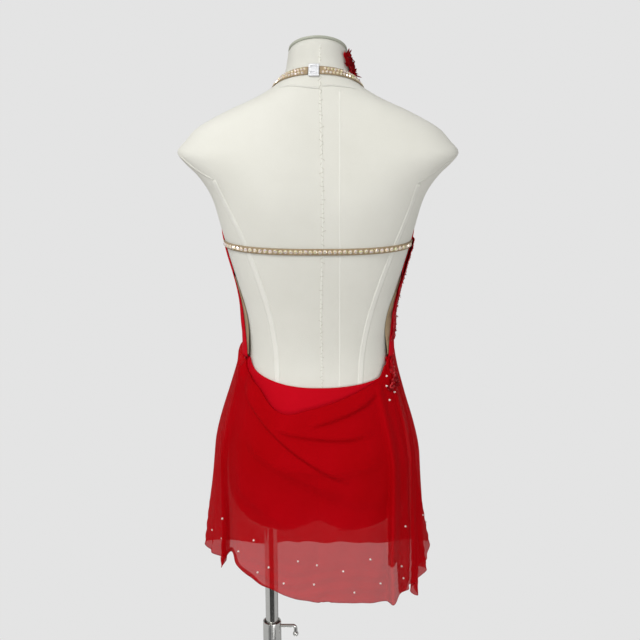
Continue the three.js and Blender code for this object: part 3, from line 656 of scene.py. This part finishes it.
def makeBrief():
    front = (0.2 - sideSeam, sideSeam - 0.2, waistSeam - 0.3, legLine)
    back = (sideSeam + 0.2, 360 - sideSeam - 0.2, backEdge, lambda at: legLine(np.where(at > 180, 360 - at, at)))
    for node, edges, flat, area in (("brief_front", front, (0.37, 0.26), 0.085),
                                    ("brief_back", back, (0.29, 0.24), 0.064)):
        surface = between(overSkin, *edges, clothGap["bodice"], 0.75)
        panel = clothPiece(node + "_panel", surface, (90, 60), flat, "redStretchKnit")
        standsFor(panel, node, "red_stretch", flat=flat, area=area, **worn)


gussetShape = {"half": 21, "gap": 3.2, "edge": -272}
gussetRows = table(
    "v reach z lean", (0, -1, -272.6, 0.9), (0.07, -0.96, -275, 0.5), (0.15, -0.84, -279, 0.1), (0.33, -0.5, -280, 0),
    (0.67, 0.5, -280, 0), (0.85, 0.84, -279, 0.1), (0.93, 0.96, -275, 0.5), (1, 1, -272.6, 0.9))


def gussetSurface(u, v):
    x = mix(-gussetShape["half"], gussetShape["half"], u)
    side = np.where(v < 0.5, -1.0, 1.0)
    middle = np.where(v < 0.5, 0.0, math.pi)
    edge = np.abs(skin(middle, gussetShape["edge"])[..., 1])
    reach, z, lean = (straightAt(gussetRows, "v", key, v) for key in ("reach", "z", "lean"))
    y = np.abs(skin(middle - side * x / edge, gussetShape["edge"])[..., 1]) * reach
    down = gussetShape["gap"] / np.hypot(1, lean)
    return np.stack([x, y + side * lean * down, z + notchAt(x, z) - down], -1)


def makeGusset():
    flat = (0.042, 0.16)
    bm = gridMesh(20, 50, flat)
    moveVerts(bm, gussetSurface)
    bmesh.ops.reverse_faces(bm, faces=bm.faces)
    gusset = finishPiece("brief_gusset", bm, cloths["redStretchKnit"])
    thicken(gusset, stretchThick)
    standsFor(gusset, "gusset", "red_stretch", flat=flat, **worn)


makeBodice()
makeLining("lining_left", 1, liningShow["wide"] * liningShow["left"])
makeLining("lining_right", -1, liningShow["wide"])
makeBrief()
makeGusset()
print("bodice and brief made")

# The skirt: two pieces of mesh, seamed at the sides, with a cowl across the back.
skirtTopRows = table(
    "angle z", (-180, -67), (-155, -55), (-137, -45), (-118, -33), (-108, -14), (-98, 4), (-88, 8), (-60, 4), (0, 0),
    (60, 4), (88, 8), (96, 2), (104, -24), (116, -35), (128, -47), (140, -66), (148, -75), (157, -77), (170, -71),
    (180, -67))
skirtHemRows = table(
    "angle z", (-180, -374), (-150, -379), (-128, -388), (-116, -382), (-107, -379), (-97, -418), (-88, -390),
    (-76, -392), (-65, -380), (-38, -393), (0, -396), (40, -392), (67, -375), (82, -366), (98, -358), (106, -330),
    (116, -326), (130, -344), (150, -361), (180, -374))
# Folds that hang from the waist: how far each stands out at the top and at the hem, how late it opens, and
# how far its crest leans along the skirt at the hem. The narrow ones are the pleats beside the big folds.
skirtFolds = table(
    "angle spread top hem late lean",
    (67, 9, 13, 64, 1.0, 0), (91, 11, 9, 3, 1.15, 0), (99, 3.6, 2, 12, 1.15, 20), (121, 6, 1, 6, 1.15, 0),
    (-124, 2.6, 3, 15, 1.0, -22), (-107, 3.2, 3, 18, 1.1, -4), (-87, 3.2, 4.5, 32, 1.15, 0), (-65, 8, 7, 66, 1.4, 0),
    (-40, 7, 5, 12, 1.15, 4), (-17, 7, 6, 15, 1.15, -4), (6, 6, 5, 11, 1.15, 3), (27, 7, 6, 16, 1.15, -5),
    (46, 6, 4, 10, 1.15, 0), (82, 2.6, 0, 15, 1.6, 0), (-76, 2.8, 0, 18, 1.5, 0), (-97, 2.6, 1, 20, 1.1, 0),
    (-56, 2.6, 0, 9, 1.8, 0), (57, 2.8, 0, 8, 1.8, 0), (-115, 2.6, 0, 14, 1.1, 0))
skirtHang = {"fullest": -178, "half": 143, "front": 110, "back": 117, "square": 2.4}
# Drapes of the cowl: each runs between two places of the back, sags, and is steeper on its lower side.
cowlDrapes = table(
    "fromAngle fromZ toAngle toZ sag upper lower out",
    (108, -40, 209, -185, 8, 20, 3.2, 8.5), (146, -94, 229, -107, 9, 13, 3.4, 6.0),
    (170, -92, 243, -44, 6, 10, 3.0, 5.0), (122, -118, 205, -196, 8, 26, 8, 3.6),
    (150, -150, 238, -146, 10, 20, 7, 3.0), (172, -178, 240, -215, 8, 24, 9, 2.6),
    (118, -190, 176, -262, 6, 22, 10, 2.2))
skirtSeam = {"left": 104, "right": 244}
gathered = 16
skirtThick = 0.6
# The cowl's top edge is turned in: it stands off the brief, rolls over, and its facing hangs down inside.
cowlEdge = {"from": 112, "to": 236, "lift": 5.5, "deep": 26, "roll": 1.3, "facing": 17}
hemCurl = {"angle": 118, "spread": 13, "high": 9}
# At both seams the front piece runs in under the back one, which laps over it; at the right the lap is wide and
# its two layers have hems of their own.
seamLap = {"left": 3, "right": 13, "under": 1.1, "overLeft": 3, "over": 5, "inner": 62, "outer": 20, "strip": 3.5}


def halfTurned(degrees):
    return (np.asarray(degrees, float) + 180) % 360 - 180


def skirtTop(degrees):
    return curveAt(skirtTopRows, "angle", "z", halfTurned(degrees))


def skirtHem(degrees):
    return curveAt(skirtHemRows, "angle", "z", halfTurned(degrees))


def acrossCowl(degrees):
    along = (degrees % 360 - cowlEdge["from"]) / (cowlEdge["to"] - cowlEdge["from"])
    return np.sin(np.pi * np.clip(along, 0, 1))


def drapeAt(degrees, z):
    degrees = degrees % 360
    lift = 0 * z
    for drape in cowlDrapes:
        along = np.clip((degrees - drape["fromAngle"]) / (drape["toAngle"] - drape["fromAngle"]), 0, 1)
        ridge = smooth(0, 0.16, along) * smooth(0, 0.34, 1 - along)
        off = z - mix(drape["fromZ"], drape["toZ"], along) + drape["sag"] * np.sin(np.pi * along)
        lift = lift + drape["out"] * ridge * np.where(off > 0, bell(off, drape["upper"]), bell(off, drape["lower"]))
    return lift


def skirtFace(angle, z):
    angle, z = np.broadcast_arrays(np.asarray(angle, float), np.asarray(z, float))
    degrees = np.degrees(angle)
    body = skin(angle, np.maximum(z, skirtHang["fullest"]))
    close = np.hypot(body[..., 0], body[..., 1]) + clothGap["skirt"]
    hang = np.maximum(close, planRadius(angle, *(skirtHang[key] for key in planKeys)))
    top, hem = skirtTop(degrees), skirtHem(degrees)
    drop = np.clip((top - z) / (top - hem), 0, 1)
    radius = mix(close, hang, 1 - smooth(-380, -110, z))
    aside = 0 * radius
    for fold in skirtFolds:
        crest = bell(halfTurned(degrees - fold["angle"]), fold["spread"]) * smooth(0, gathered, top - z)
        radius = radius + crest * mix(fold["top"], fold["hem"], drop ** fold["late"])
        aside = aside + crest * fold["lean"] * drop ** 0.6
    radius = radius + drapeAt(degrees, z)
    radius = radius + cowlEdge["lift"] * acrossCowl(degrees) * bell(top - z, cowlEdge["deep"])
    # small uneven pulls of the mesh: none at the top, most near the hem
    radius = radius + drop * (0.9 * np.sin(11 * angle + z / 31) + 0.7 * np.sin(18 * angle - z / 19 + 1.7))
    radius = radius + 0.8 * drop ** 2 * np.sin(z / 3.4 + 2.2 * np.sin(5 * angle)) * bell(z + 350, 38)
    turned = angle + aside / radius
    return np.stack([radius * np.sin(turned), -radius * np.cos(turned), z], -1)


def overSkirt(angle, z, away):
    return skirtFace(angle, z) + outwardOf(skirtFace, angle, z) * np.asarray(away)[..., None]


# The hem is cut by hand, so it waves a little.
def cutHem(degrees):
    angle = np.radians(degrees)
    return skirtHem(degrees) + 0.9 * np.sin(8 * angle) + 0.35 * np.sin(27 * angle + 2)


# The back piece, from its hem, which curls under at the left, up the outside, over the roll and down the facing.
def skirtBackSurface(u, v):
    curlShare, mainShare, rollShare = 0.05, 0.82, 0.06
    rough = mix(skirtSeam["left"] - seamLap["overLeft"], skirtSeam["right"] + seamLap["over"], u)
    lapHem = seamLap["outer"] * smooth(skirtSeam["right"] - 1, skirtSeam["right"] + 1.5, rough)
    top, hem = skirtTop(rough), cutHem(rough) + lapHem
    roll = cowlEdge["roll"] * (0.35 + 0.65 * acrossCowl(rough))
    turn = np.pi * np.clip((v - mainShare) / rollShare, 0, 1)
    down = cowlEdge["facing"] * np.clip((v - mainShare - rollShare) / (1 - mainShare - rollShare), 0, 1)
    curl = hemCurl["high"] * bell(rough - hemCurl["angle"], hemCurl["spread"]) * np.clip(1 - v / curlShare, 0, 1)
    z = mix(hem, top - roll, np.clip((v - curlShare) / (mainShare - curlShare), 0, 1) ** 0.9)
    z = z + curl + roll * np.sin(turn) - down * acrossCowl(rough) ** 0.5
    away = 0.3 - np.minimum(curl, 1.6) - roll * (1 - np.cos(turn)) - down * 0.09
    return overSkirt(np.radians(rough), z, away)


# The front piece: both its side edges run in under the back piece.
def skirtFrontSurface(u, v):
    right, left = skirtSeam["right"] - 360, skirtSeam["left"]
    rough = mix(right - seamLap["right"], left + seamLap["left"], u)
    lapEnd, lapStart = right + seamLap["over"], left - seamLap["overLeft"]
    tucked = 1 - smooth(lapEnd, lapEnd + 2, rough) * smooth(0, 1.2, lapStart - rough)
    strip = right - seamLap["strip"]
    hem = cutHem(rough) + seamLap["inner"] * (1 - smooth(strip - 1.5, strip, rough))
    z = mix(hem, skirtTop(rough) - 2 * tucked, v)
    return overSkirt(np.radians(rough), z, 0.3 - seamLap["under"] * tucked)


def makeSkirt():
    for node, surface, grid, flat, area, cloth in (
            ("skirt_front", skirtFrontSurface, (460, 90), (0.85, 0.40), 0.27, "redMeshGathered"),
            ("skirt_back", skirtBackSurface, (260, 150), (0.36, 0.35), 0.115, "redPowerMesh")):
        piece = clothPiece("mesh_" + node, surface, grid, flat, cloth, skirtThick)
        standsFor(piece, node, "red_mesh", flat=flat, held="draped", rests_on=["brief_back_panel", "dress_form"],
                  area=area)


makeSkirt()
print("skirt made")


# Where a place of the photo, in its pixels, meets a surface given by angle and height, which is searched for
# from an angle and from about the height that the pixel shows.
photoPlace = {"middle": 318, "top": 45, "topZ": 458, "tall": 1.55, "turn": 0.55}


def seenOn(surface, pixelX, pixelY, startAngle, startZ=None):
    if startZ is None:
        startZ = photoPlace["topZ"] - (pixelY - photoPlace["top"]) * photoPlace["tall"]
    down = math.radians(camera["down"])
    eye = np.array(camera["place"]) * 1000 - (0, 0, waistHeight)
    middle = camera["frame"] / 2

    def pixelOf(angle, z):
        x, y, up = surface(angle, z) - eye
        depth = -y * math.cos(down) - up * math.sin(down)
        rise = up * math.cos(down) - y * math.sin(down)
        return np.array([middle - camera["focal"] * x / depth, middle - camera["focal"] * rise / depth])

    angle, z = math.radians(startAngle), float(startZ)
    for _ in range(40):
        miss = pixelOf(angle, z) - (pixelX, pixelY)
        if np.hypot(*miss) < 0.05:
            break
        slopes = np.stack([(pixelOf(angle + 0.005, z) - pixelOf(angle - 0.005, z)) / 0.01,
                           (pixelOf(angle, z + 0.5) - pixelOf(angle, z - 0.5))], 1)
        step = np.linalg.lstsq(slopes, miss, rcond=0.0004)[0]
        angle -= float(np.clip(step[0], -0.05, 0.05))
        z -= float(np.clip(step[1], -15, 15))
    return angle, z, float(np.hypot(*miss))


# A faceted stone that sits on a surface with its table outwards.
def addStone(bm, place, outward, radius, tall, sides=8, turn=0.0):
    at = Matrix.Translation(Vector(place) + Vector(outward) * tall / 2) @ facing(outward)
    bmesh.ops.create_cone(bm, cap_ends=True, segments=sides, radius1=radius, radius2=radius * 0.58, depth=tall,
                          matrix=at @ Matrix.Rotation(turn, 4, "Z"))


def stoneOn(bm, surface, angle, z, away, stone, turn):
    outward = outwardOf(surface, angle, z)
    spot = toMetres(surface(angle, z) + outward * away)
    addStone(bm, spot, outward, stone["radius"] / 1000, stone["tall"] / 1000, turn=turn)


# The two nude bands and their rows of stones.
strapStones = {"pitch": 6.9, "radius": 3.35, "tall": 2.1}
neckStones = {"pitch": 4.9, "radius": 2.2, "tall": 1.7, "rows": (-2.7, 2.7)}


def makeBand(name, node, sizes, left, right, columns, flat):
    top, bottom = sizes["z"] + sizes["width"] / 2, sizes["z"] - sizes["width"] / 2
    surface = between(overSkin, left, right, top, bottom, sizes["gap"])
    band = clothPiece(name, surface, (columns, 6), flat, "nudeStretch", sizes["thick"])
    standsFor(band, node, "nude_stretch", flat=flat, **worn)


def stoneRow(bm, sizes, stones, left, right, offZ, shift):
    def stepAt(angle):
        return stones["pitch"] / float(np.hypot(*skin(angle, sizes["z"])[:2]))

    step = stepAt(math.radians((left + right) / 2))
    angle = math.radians(left) + step * (0.6 + shift)
    while angle < math.radians(right) - step * 0.6:
        step = stepAt(angle)
        z = sizes["z"] + offZ + 0.25 * math.sin(angle * 41 + offZ)
        stoneOn(bm, skin, angle, z, sizes["gap"] + sizes["thick"] - 0.1, stones, angle * 57)
        angle += step


def makeBands():
    band, strap = neckBand, backStrap
    left, right = band["clasp"] + band["opening"] - 360, band["clasp"] - band["opening"]
    makeBand("neck_band", "neck_band", band, left, right, 180, (0.37, 0.0118))
    makeBand("back_strap_band", "back_strap", strap, strap["end"], 360 - strap["end"], 110, (0.28, 0.01))
    bm = newShape()
    for row, offZ in enumerate(neckStones["rows"]):
        stoneRow(bm, band, neckStones, left + 1.5, right - 1.5, offZ, row * 0.5)
    finishPiece("neck_band_stones", bm, rainbowStone, smoothShaded=False)
    bm = newShape()
    stoneRow(bm, strap, strapStones, strap["end"] + 0.5, 360 - strap["end"] - 0.5, 0, 0)
    finishPiece("back_strap_stones", bm, rainbowStone, smoothShaded=False)


makeBands()
print("bands made")

# The clear clasp at the back of the neck: a frame with a tongue across its opening.
clasp = {"width": 14.6, "height": 17.5, "thick": 2.6, "rim": 3.2, "tongue": 5.0, "off": 1.0, "round": 0.5, "back": 1.3}


def makeClasp():
    half, tall, rim, tongue = clasp["width"] / 2, clasp["height"] / 2, clasp["rim"], clasp["tongue"] / 2
    across = [-half, rim - half, half - rim, half]
    along = [-tall, rim - tall, -tongue, tongue, tall - rim, tall]
    bm = newShape()
    bmesh.ops.create_grid(bm, x_segments=len(across) - 1, y_segments=len(along) - 1, size=0.5)
    for vert in bm.verts:
        column = round((vert.co.x + 0.5) * (len(across) - 1))
        row = round((vert.co.y + 0.5) * (len(along) - 1))
        vert.co = (across[column] / 1000, along[row] / 1000, 0)

    def grow(faces, high):
        return pushOn(bm, faces, lambda verts: bmesh.ops.translate(bm, verts=verts, vec=(0, 0, high / 1000)))

    def isOpen(face):
        x, y, _ = face.calc_center_median() * 1000
        return abs(x) < half - rim and tongue < abs(y) < tall - rim

    raised = [face for face in grow(bm.faces[:], clasp["back"]) if not isOpen(face)]
    grow(raised, clasp["thick"] - clasp["back"])
    bmesh.ops.delete(bm, geom=[face for face in raised if face.is_valid], context="FACES")
    bmesh.ops.recalc_face_normals(bm, faces=bm.faces)
    angle = math.radians(neckBand["clasp"])
    outward = outwardOf(skin, angle, neckBand["z"], *skinSteps)
    at = Matrix.Translation(toMetres(skin(angle, neckBand["z"]) + outward * clasp["off"]))
    bmesh.ops.transform(bm, matrix=at @ facing(outward), verts=bm.verts)
    piece = finishPiece("neck_clasp_clear", bm, clearPlastic)
    edge = piece.modifiers.new("edge", "BEVEL")
    edge.affect = "EDGES"
    edge.width = clasp["round"] / 1000
    edge.segments = 3
    edge.profile = 0.5
    edge.material = -1
    piece.data.set_sharp_from_angle(angle=math.radians(40))
    standsFor(piece, "neck_clasp", "clear_plastic")


makeClasp()

# The cap of the neck: a low dome.
capRows = table("v scale up", (0, 0, 0.3), (0.02, 0.99, 0.3), (0.12, 1.0, 1.5), (0.3, 0.99, 3.4), (0.46, 0.9, 5.2),
                (0.72, 0.5, 6.6), (1, 0, 7.0))


def capSurface(u, v):
    angle = 2 * math.pi * u
    scale, up = (straightAt(capRows, "v", key, v) for key in ("scale", "up"))
    ring = skin(angle, formSections[0]["z"])
    middle = (skin(0, formSections[0]["z"]) + skin(math.pi, formSections[0]["z"])) / 2
    return mix(middle, ring, scale[..., None]) + np.stack([0 * up, 0 * up, up], -1)


def makeCap():
    bm = gridMesh(96, 50, (0.27, 0.05))
    moveVerts(bm, capSurface)
    weld(bm)
    standsFor(finishPiece("neck_cap_dome", bm, cloths["neckCapCloth"]), "neck_cap", "cap_paint")


makeCap()

# Seams of the form's cover: strips of turned cloth, thin rolls, and the hand stitches down the back. Each has its
# width, how far it stands out, and the pixels of the photo that it runs through. The strips and rolls are drawn in
# a canvas paler than the cover's, a painted highlight on the raised seams.
seamLines = {
    "princess_left": (9.0, 0.55, [(213, 180), (228, 210), (244, 243), (258, 280), (270, 318), (276, 355), (277, 390)]),
    "princess_right": (9.0, 0.55, [(419, 184), (408, 215), (395, 247), (381, 283), (369, 320), (362, 356), (360, 392)]),
    "placket_edge": (3.0, 0.5, [(340, 90), (340, 130), (340, 180), (340, 230), (340, 280), (340, 330), (340, 393)]),
    "centre_back": (3.0, 0.6, [(320, 45), (320, 80), (321, 120), (322, 170), (323, 220), (322, 270), (321, 320),
                               (322, 360), (322, 396)]),
    "arm_plate_left": (3.0, 0.9, [(180, 156), (190, 165), (201, 173), (213, 180)]),
    "arm_plate_right": (3.0, 0.9, [(457, 155), (444, 166), (431, 176), (418, 183)]),
    "neck_left": (3.2, 0.9, [(280, 87), (287, 85.5), (297, 85.5), (309, 87), (320, 88)]),
    "neck_right": (3.2, 0.9, [(322, 85.5), (332, 85), (341, 86), (350, 87), (355, 88.5)])}
stitches = {"count": 90, "reach": 1.7, "uneven": 1.1, "lean": 1.2, "rise": 1.6, "away": 0.85, "radius": 0.00033}


def seamPath(pixels, steps):
    at = np.linspace(0, len(pixels) - 1, steps)
    rows = [{"at": index, "x": x, "y": y} for index, (x, y) in enumerate(pixels)]
    angle, z = math.radians(180 + (pixels[0][0] - photoPlace["middle"]) * photoPlace["turn"]), None
    places = []
    for pixelX, pixelY in zip(curveAt(rows, "at", "x", at), curveAt(rows, "at", "y", at)):
        angle, z, miss = seenOn(skin, pixelX, pixelY, math.degrees(angle), z)
        if miss < 1.5:
            places.append((angle, z))
    return np.array(places)


def makeSeam(name, path, wide, tall):
    here = skin(path[:, 0], path[:, 1])
    out = outwardOf(skin, path[:, 0], path[:, 1], *skinSteps)
    along = np.gradient(here, axis=0)
    across = np.cross(out, along)
    across = across / np.linalg.norm(across, axis=-1, keepdims=True)

    def surface(u, v):
        row = np.rint(v * (len(path) - 1)).astype(int)
        side = (u * 2 - 1)[:, None]
        rise = tall * np.clip(1 - side ** 4, 0, 1) ** 0.5
        return here[row] + across[row] * side * wide / 2 + out[row] * (rise - 0.12)

    bm = gridMesh(8, len(path) - 1, (wide / 1000, 0.3))
    moveVerts(bm, surface)
    bmesh.ops.recalc_face_normals(bm, faces=bm.faces)
    if sum(face.normal.dot(Vector(out[0])) for face in bm.faces) < 0:
        bmesh.ops.reverse_faces(bm, faces=bm.faces)
    # The seam is drawn in the paler canvas, a painted highlight.
    thicken(finishPiece(name, bm, cloths["foldedCanvas"]), 0.3, -1.0)


def addStitch(bm, start, end, radius):
    start, end = Vector(start), Vector(end)
    bmesh.ops.create_cone(bm, cap_ends=True, segments=6, radius1=radius, radius2=radius, depth=(end - start).length,
                          matrix=Matrix.Translation((start + end) / 2) @ facing(end - start))


def makeSeams():
    for name, (wide, tall, pixels) in seamLines.items():
        makeSeam("form_seam_" + name, seamPath(pixels, 60), wide, tall)
    path = seamPath(seamLines["centre_back"][2], stitches["count"])
    bm = newShape()
    for index in range(1, len(path) - 1):
        angle, z = path[index]
        lean = stitches["lean"] * math.sin(index * 2.7) / 80
        reach = (stitches["reach"] + stitches["uneven"] * math.sin(index * 1.9)) / 80
        rise = stitches["rise"] * math.sin(index * 3.3)
        ends = [toMetres(overSkin(angle + side * reach + lean, z - side * rise, stitches["away"])) for side in (-1, 1)]
        addStitch(bm, *ends, stitches["radius"])
    # The stitches are drawn in the darker thread, which partly paints their shade.
    finishPiece("form_back_stitches", bm, cloths["canvasThread"])


makeSeams()
print("form details made")

# Lace: a base with a torn leafy edge, small petals that lift off it, and sequins.
laceSides = {"gap": 4.8, "top": 168, "bottom": 16}


def leafy(at, length, deep):
    return deep * (0.6 * np.sin(at / length) + 0.4 * np.sin(at / (0.43 * length) + 1.3))


def addPetal(bm, place, outward, turn, length, wide, lift):
    at = Matrix.Translation(Vector(place)) @ facing(outward) @ Matrix.Rotation(turn, 4, "Z")
    made = bmesh.ops.create_grid(bm, x_segments=4, y_segments=4, size=0.5, calc_uvs=True)["verts"]
    for vert in made:
        u, v = vert.co.x, vert.co.y + 0.5
        breadth = wide * math.sin(math.pi * (0.08 + 0.88 * v)) ** 0.8
        height = lift * v ** 1.6 + 0.25 * wide * (2 * abs(u)) ** 2 * math.sin(math.pi * v)
        vert.co = at @ Vector((u * breadth, v * length, height))


def makeLace(name, node, surface, size, petals, sequins, seed, flat, on, big):
    base = clothPiece(name, surface, (50, 70), size, "redLace")
    standsFor(base, node, "red_lace", flat=flat, held="stretched", rests_on=[on])
    pick = random.Random(seed)
    bm, shine = newShape(), newShape()
    for index in range(petals + sequins):
        u, v = pick.uniform(0.0, 1.0), pick.uniform(0.01, 0.99)
        here, near, aside = (surface(np.array([u + stepU]), np.array([v + stepV]))[0]
                             for stepU, stepV in ((0, 0), (0, 0.01), (0.02, 0)))
        outward = np.cross(aside - here, near - here)
        outward = outward / np.linalg.norm(outward)
        tilt = np.array([pick.uniform(-0.5, 0.5) for _ in range(3)])
        leaning = (outward + tilt) / np.linalg.norm(outward + tilt)
        if index < petals:
            turn, length, wide, lift = (pick.uniform(*ends) for ends in (
                (0, 6.28), (0.004, 0.0085), (0.002, 0.0042), (0.0006, 0.0026)))
            addPetal(bm, toMetres(here + outward * 0.9), leaning, turn, length * big, wide * big, lift * big)
        else:
            addStone(shine, toMetres(here + outward * 1.2), (outward + tilt * 0.5), pick.uniform(0.0011, 0.0016),
                     0.0005, 7, pick.uniform(0, 3))
    thicken(finishPiece(name + "_petals", bm, cloths["redLace"]), 0.35)
    finishPiece(name + "_sequins", shine, redSequin, smoothShaded=False)


def makeLaces():
    side = between(overBodice, lambda z: -(sideEdge(z) + 1.5 + leafy(z, 7, 1.6)),
                   lambda z: -(sideEdge(z) - 21 + leafy(z, 11, 5)), laceSides["top"], laceSides["bottom"],
                   laceSides["gap"])
    hip = between(overSkirt, lambda z: -(132 + (z + 30) * 0.8 + leafy(z, 5, 3)), lambda z: -(99 + leafy(z, 6, 3)),
                  lambda at: skirtTop(at) - 1 + leafy(at, 3, 1), -54, 2.8)
    neck = between(overSkin, lambda z: -(128 + leafy(z, 5, 5)), lambda z: -(74 + leafy(z, 6, 5)),
                   lambda at: 424 + leafy(at, 4, 5), neckBand["z"] + neckBand["width"] / 2 + 1, 2.4)
    for lace in table(
            "name node surface size petals sequins seed flat on big",
            ("lace_side_trim", "lace_side", side, (0.05, 0.15), 150, 170, 5, (0.05, 0.152), "halter_bodice", 0.55),
            ("lace_hip_trim", "lace_hip", hip, (0.045, 0.035), 80, 110, 11, (0.042, 0.032), "mesh_skirt_back", 0.8),
            ("lace_neck_trim", "lace_neck", neck, (0.042, 0.034), 110, 60, 23, (0.042, 0.034), "dress_form", 1.35)):
        makeLace(**lace)


makeLaces()
print("lace made")

# Small pearl stones on the skirt, where the photo shows them, and more like them on the side it hides.
beadSizes = {"radius": 1.75, "tall": 1.9, "away": 0.8}
beadPixels = table(
    "x y angle", (220, 526, 100), (214, 542, 96), (221, 557, 99), (254, 540, 130), (239, 551, 112), (258, 572, 132),
    (269, 567, 138), (284, 583, 150), (314, 584, 177), (298, 561, 162), (317, 565, 180), (343, 571, 200),
    (370, 559, 224), (380, 583, 232), (354, 592, 212), (422, 515, 283), (416, 564, 270), (401, 566, 234),
    (403, 578, 236), (405, 526, 236), (421, 553, 278), (386, 376, 240), (386, 386, 239), (394, 392, 246),
    (400, 391, 250), (389, 400, 241))
hiddenBeads = {"from": -80, "to": 90, "pitch": 13, "low": 16, "high": 62}


def makeBeads():
    bm = newShape()
    for bead in beadPixels:
        angle, z, _ = seenOn(skirtFace, bead["x"], bead["y"], bead["angle"])
        stoneOn(bm, skirtFace, angle, z, beadSizes["away"], beadSizes, z)
    for index, degrees in enumerate(range(hiddenBeads["from"], hiddenBeads["to"], hiddenBeads["pitch"])):
        up = mix(hiddenBeads["low"], hiddenBeads["high"], (index * 0.618) % 1)
        z = float(skirtHem(degrees)) + up
        stoneOn(bm, skirtFace, math.radians(degrees), z, beadSizes["away"], beadSizes, degrees)
    finishPiece("skirt_stones", bm, pearlStone, smoothShaded=False)


makeBeads()
print("stones made")


# The floor is a wide pale sheet under the base plate.
def makeFloor():
    material, shader = newMaterial("paleFloor", {"Roughness": 0.9, "Specular IOR Level": 0.1})
    pale = studio["floor"]
    colourBy(material, shader, objectNoise(material, 1.4, 3.0), (pale - 0.02,) * 3, (pale, pale, pale + 0.01))
    bm = bmesh.new()
    bmesh.ops.create_circle(bm, cap_ends=True, segments=96, radius=studio["floorRadius"])
    floor = meshObject("floor", bm)
    floor.data.materials.append(material)


makeFloor()
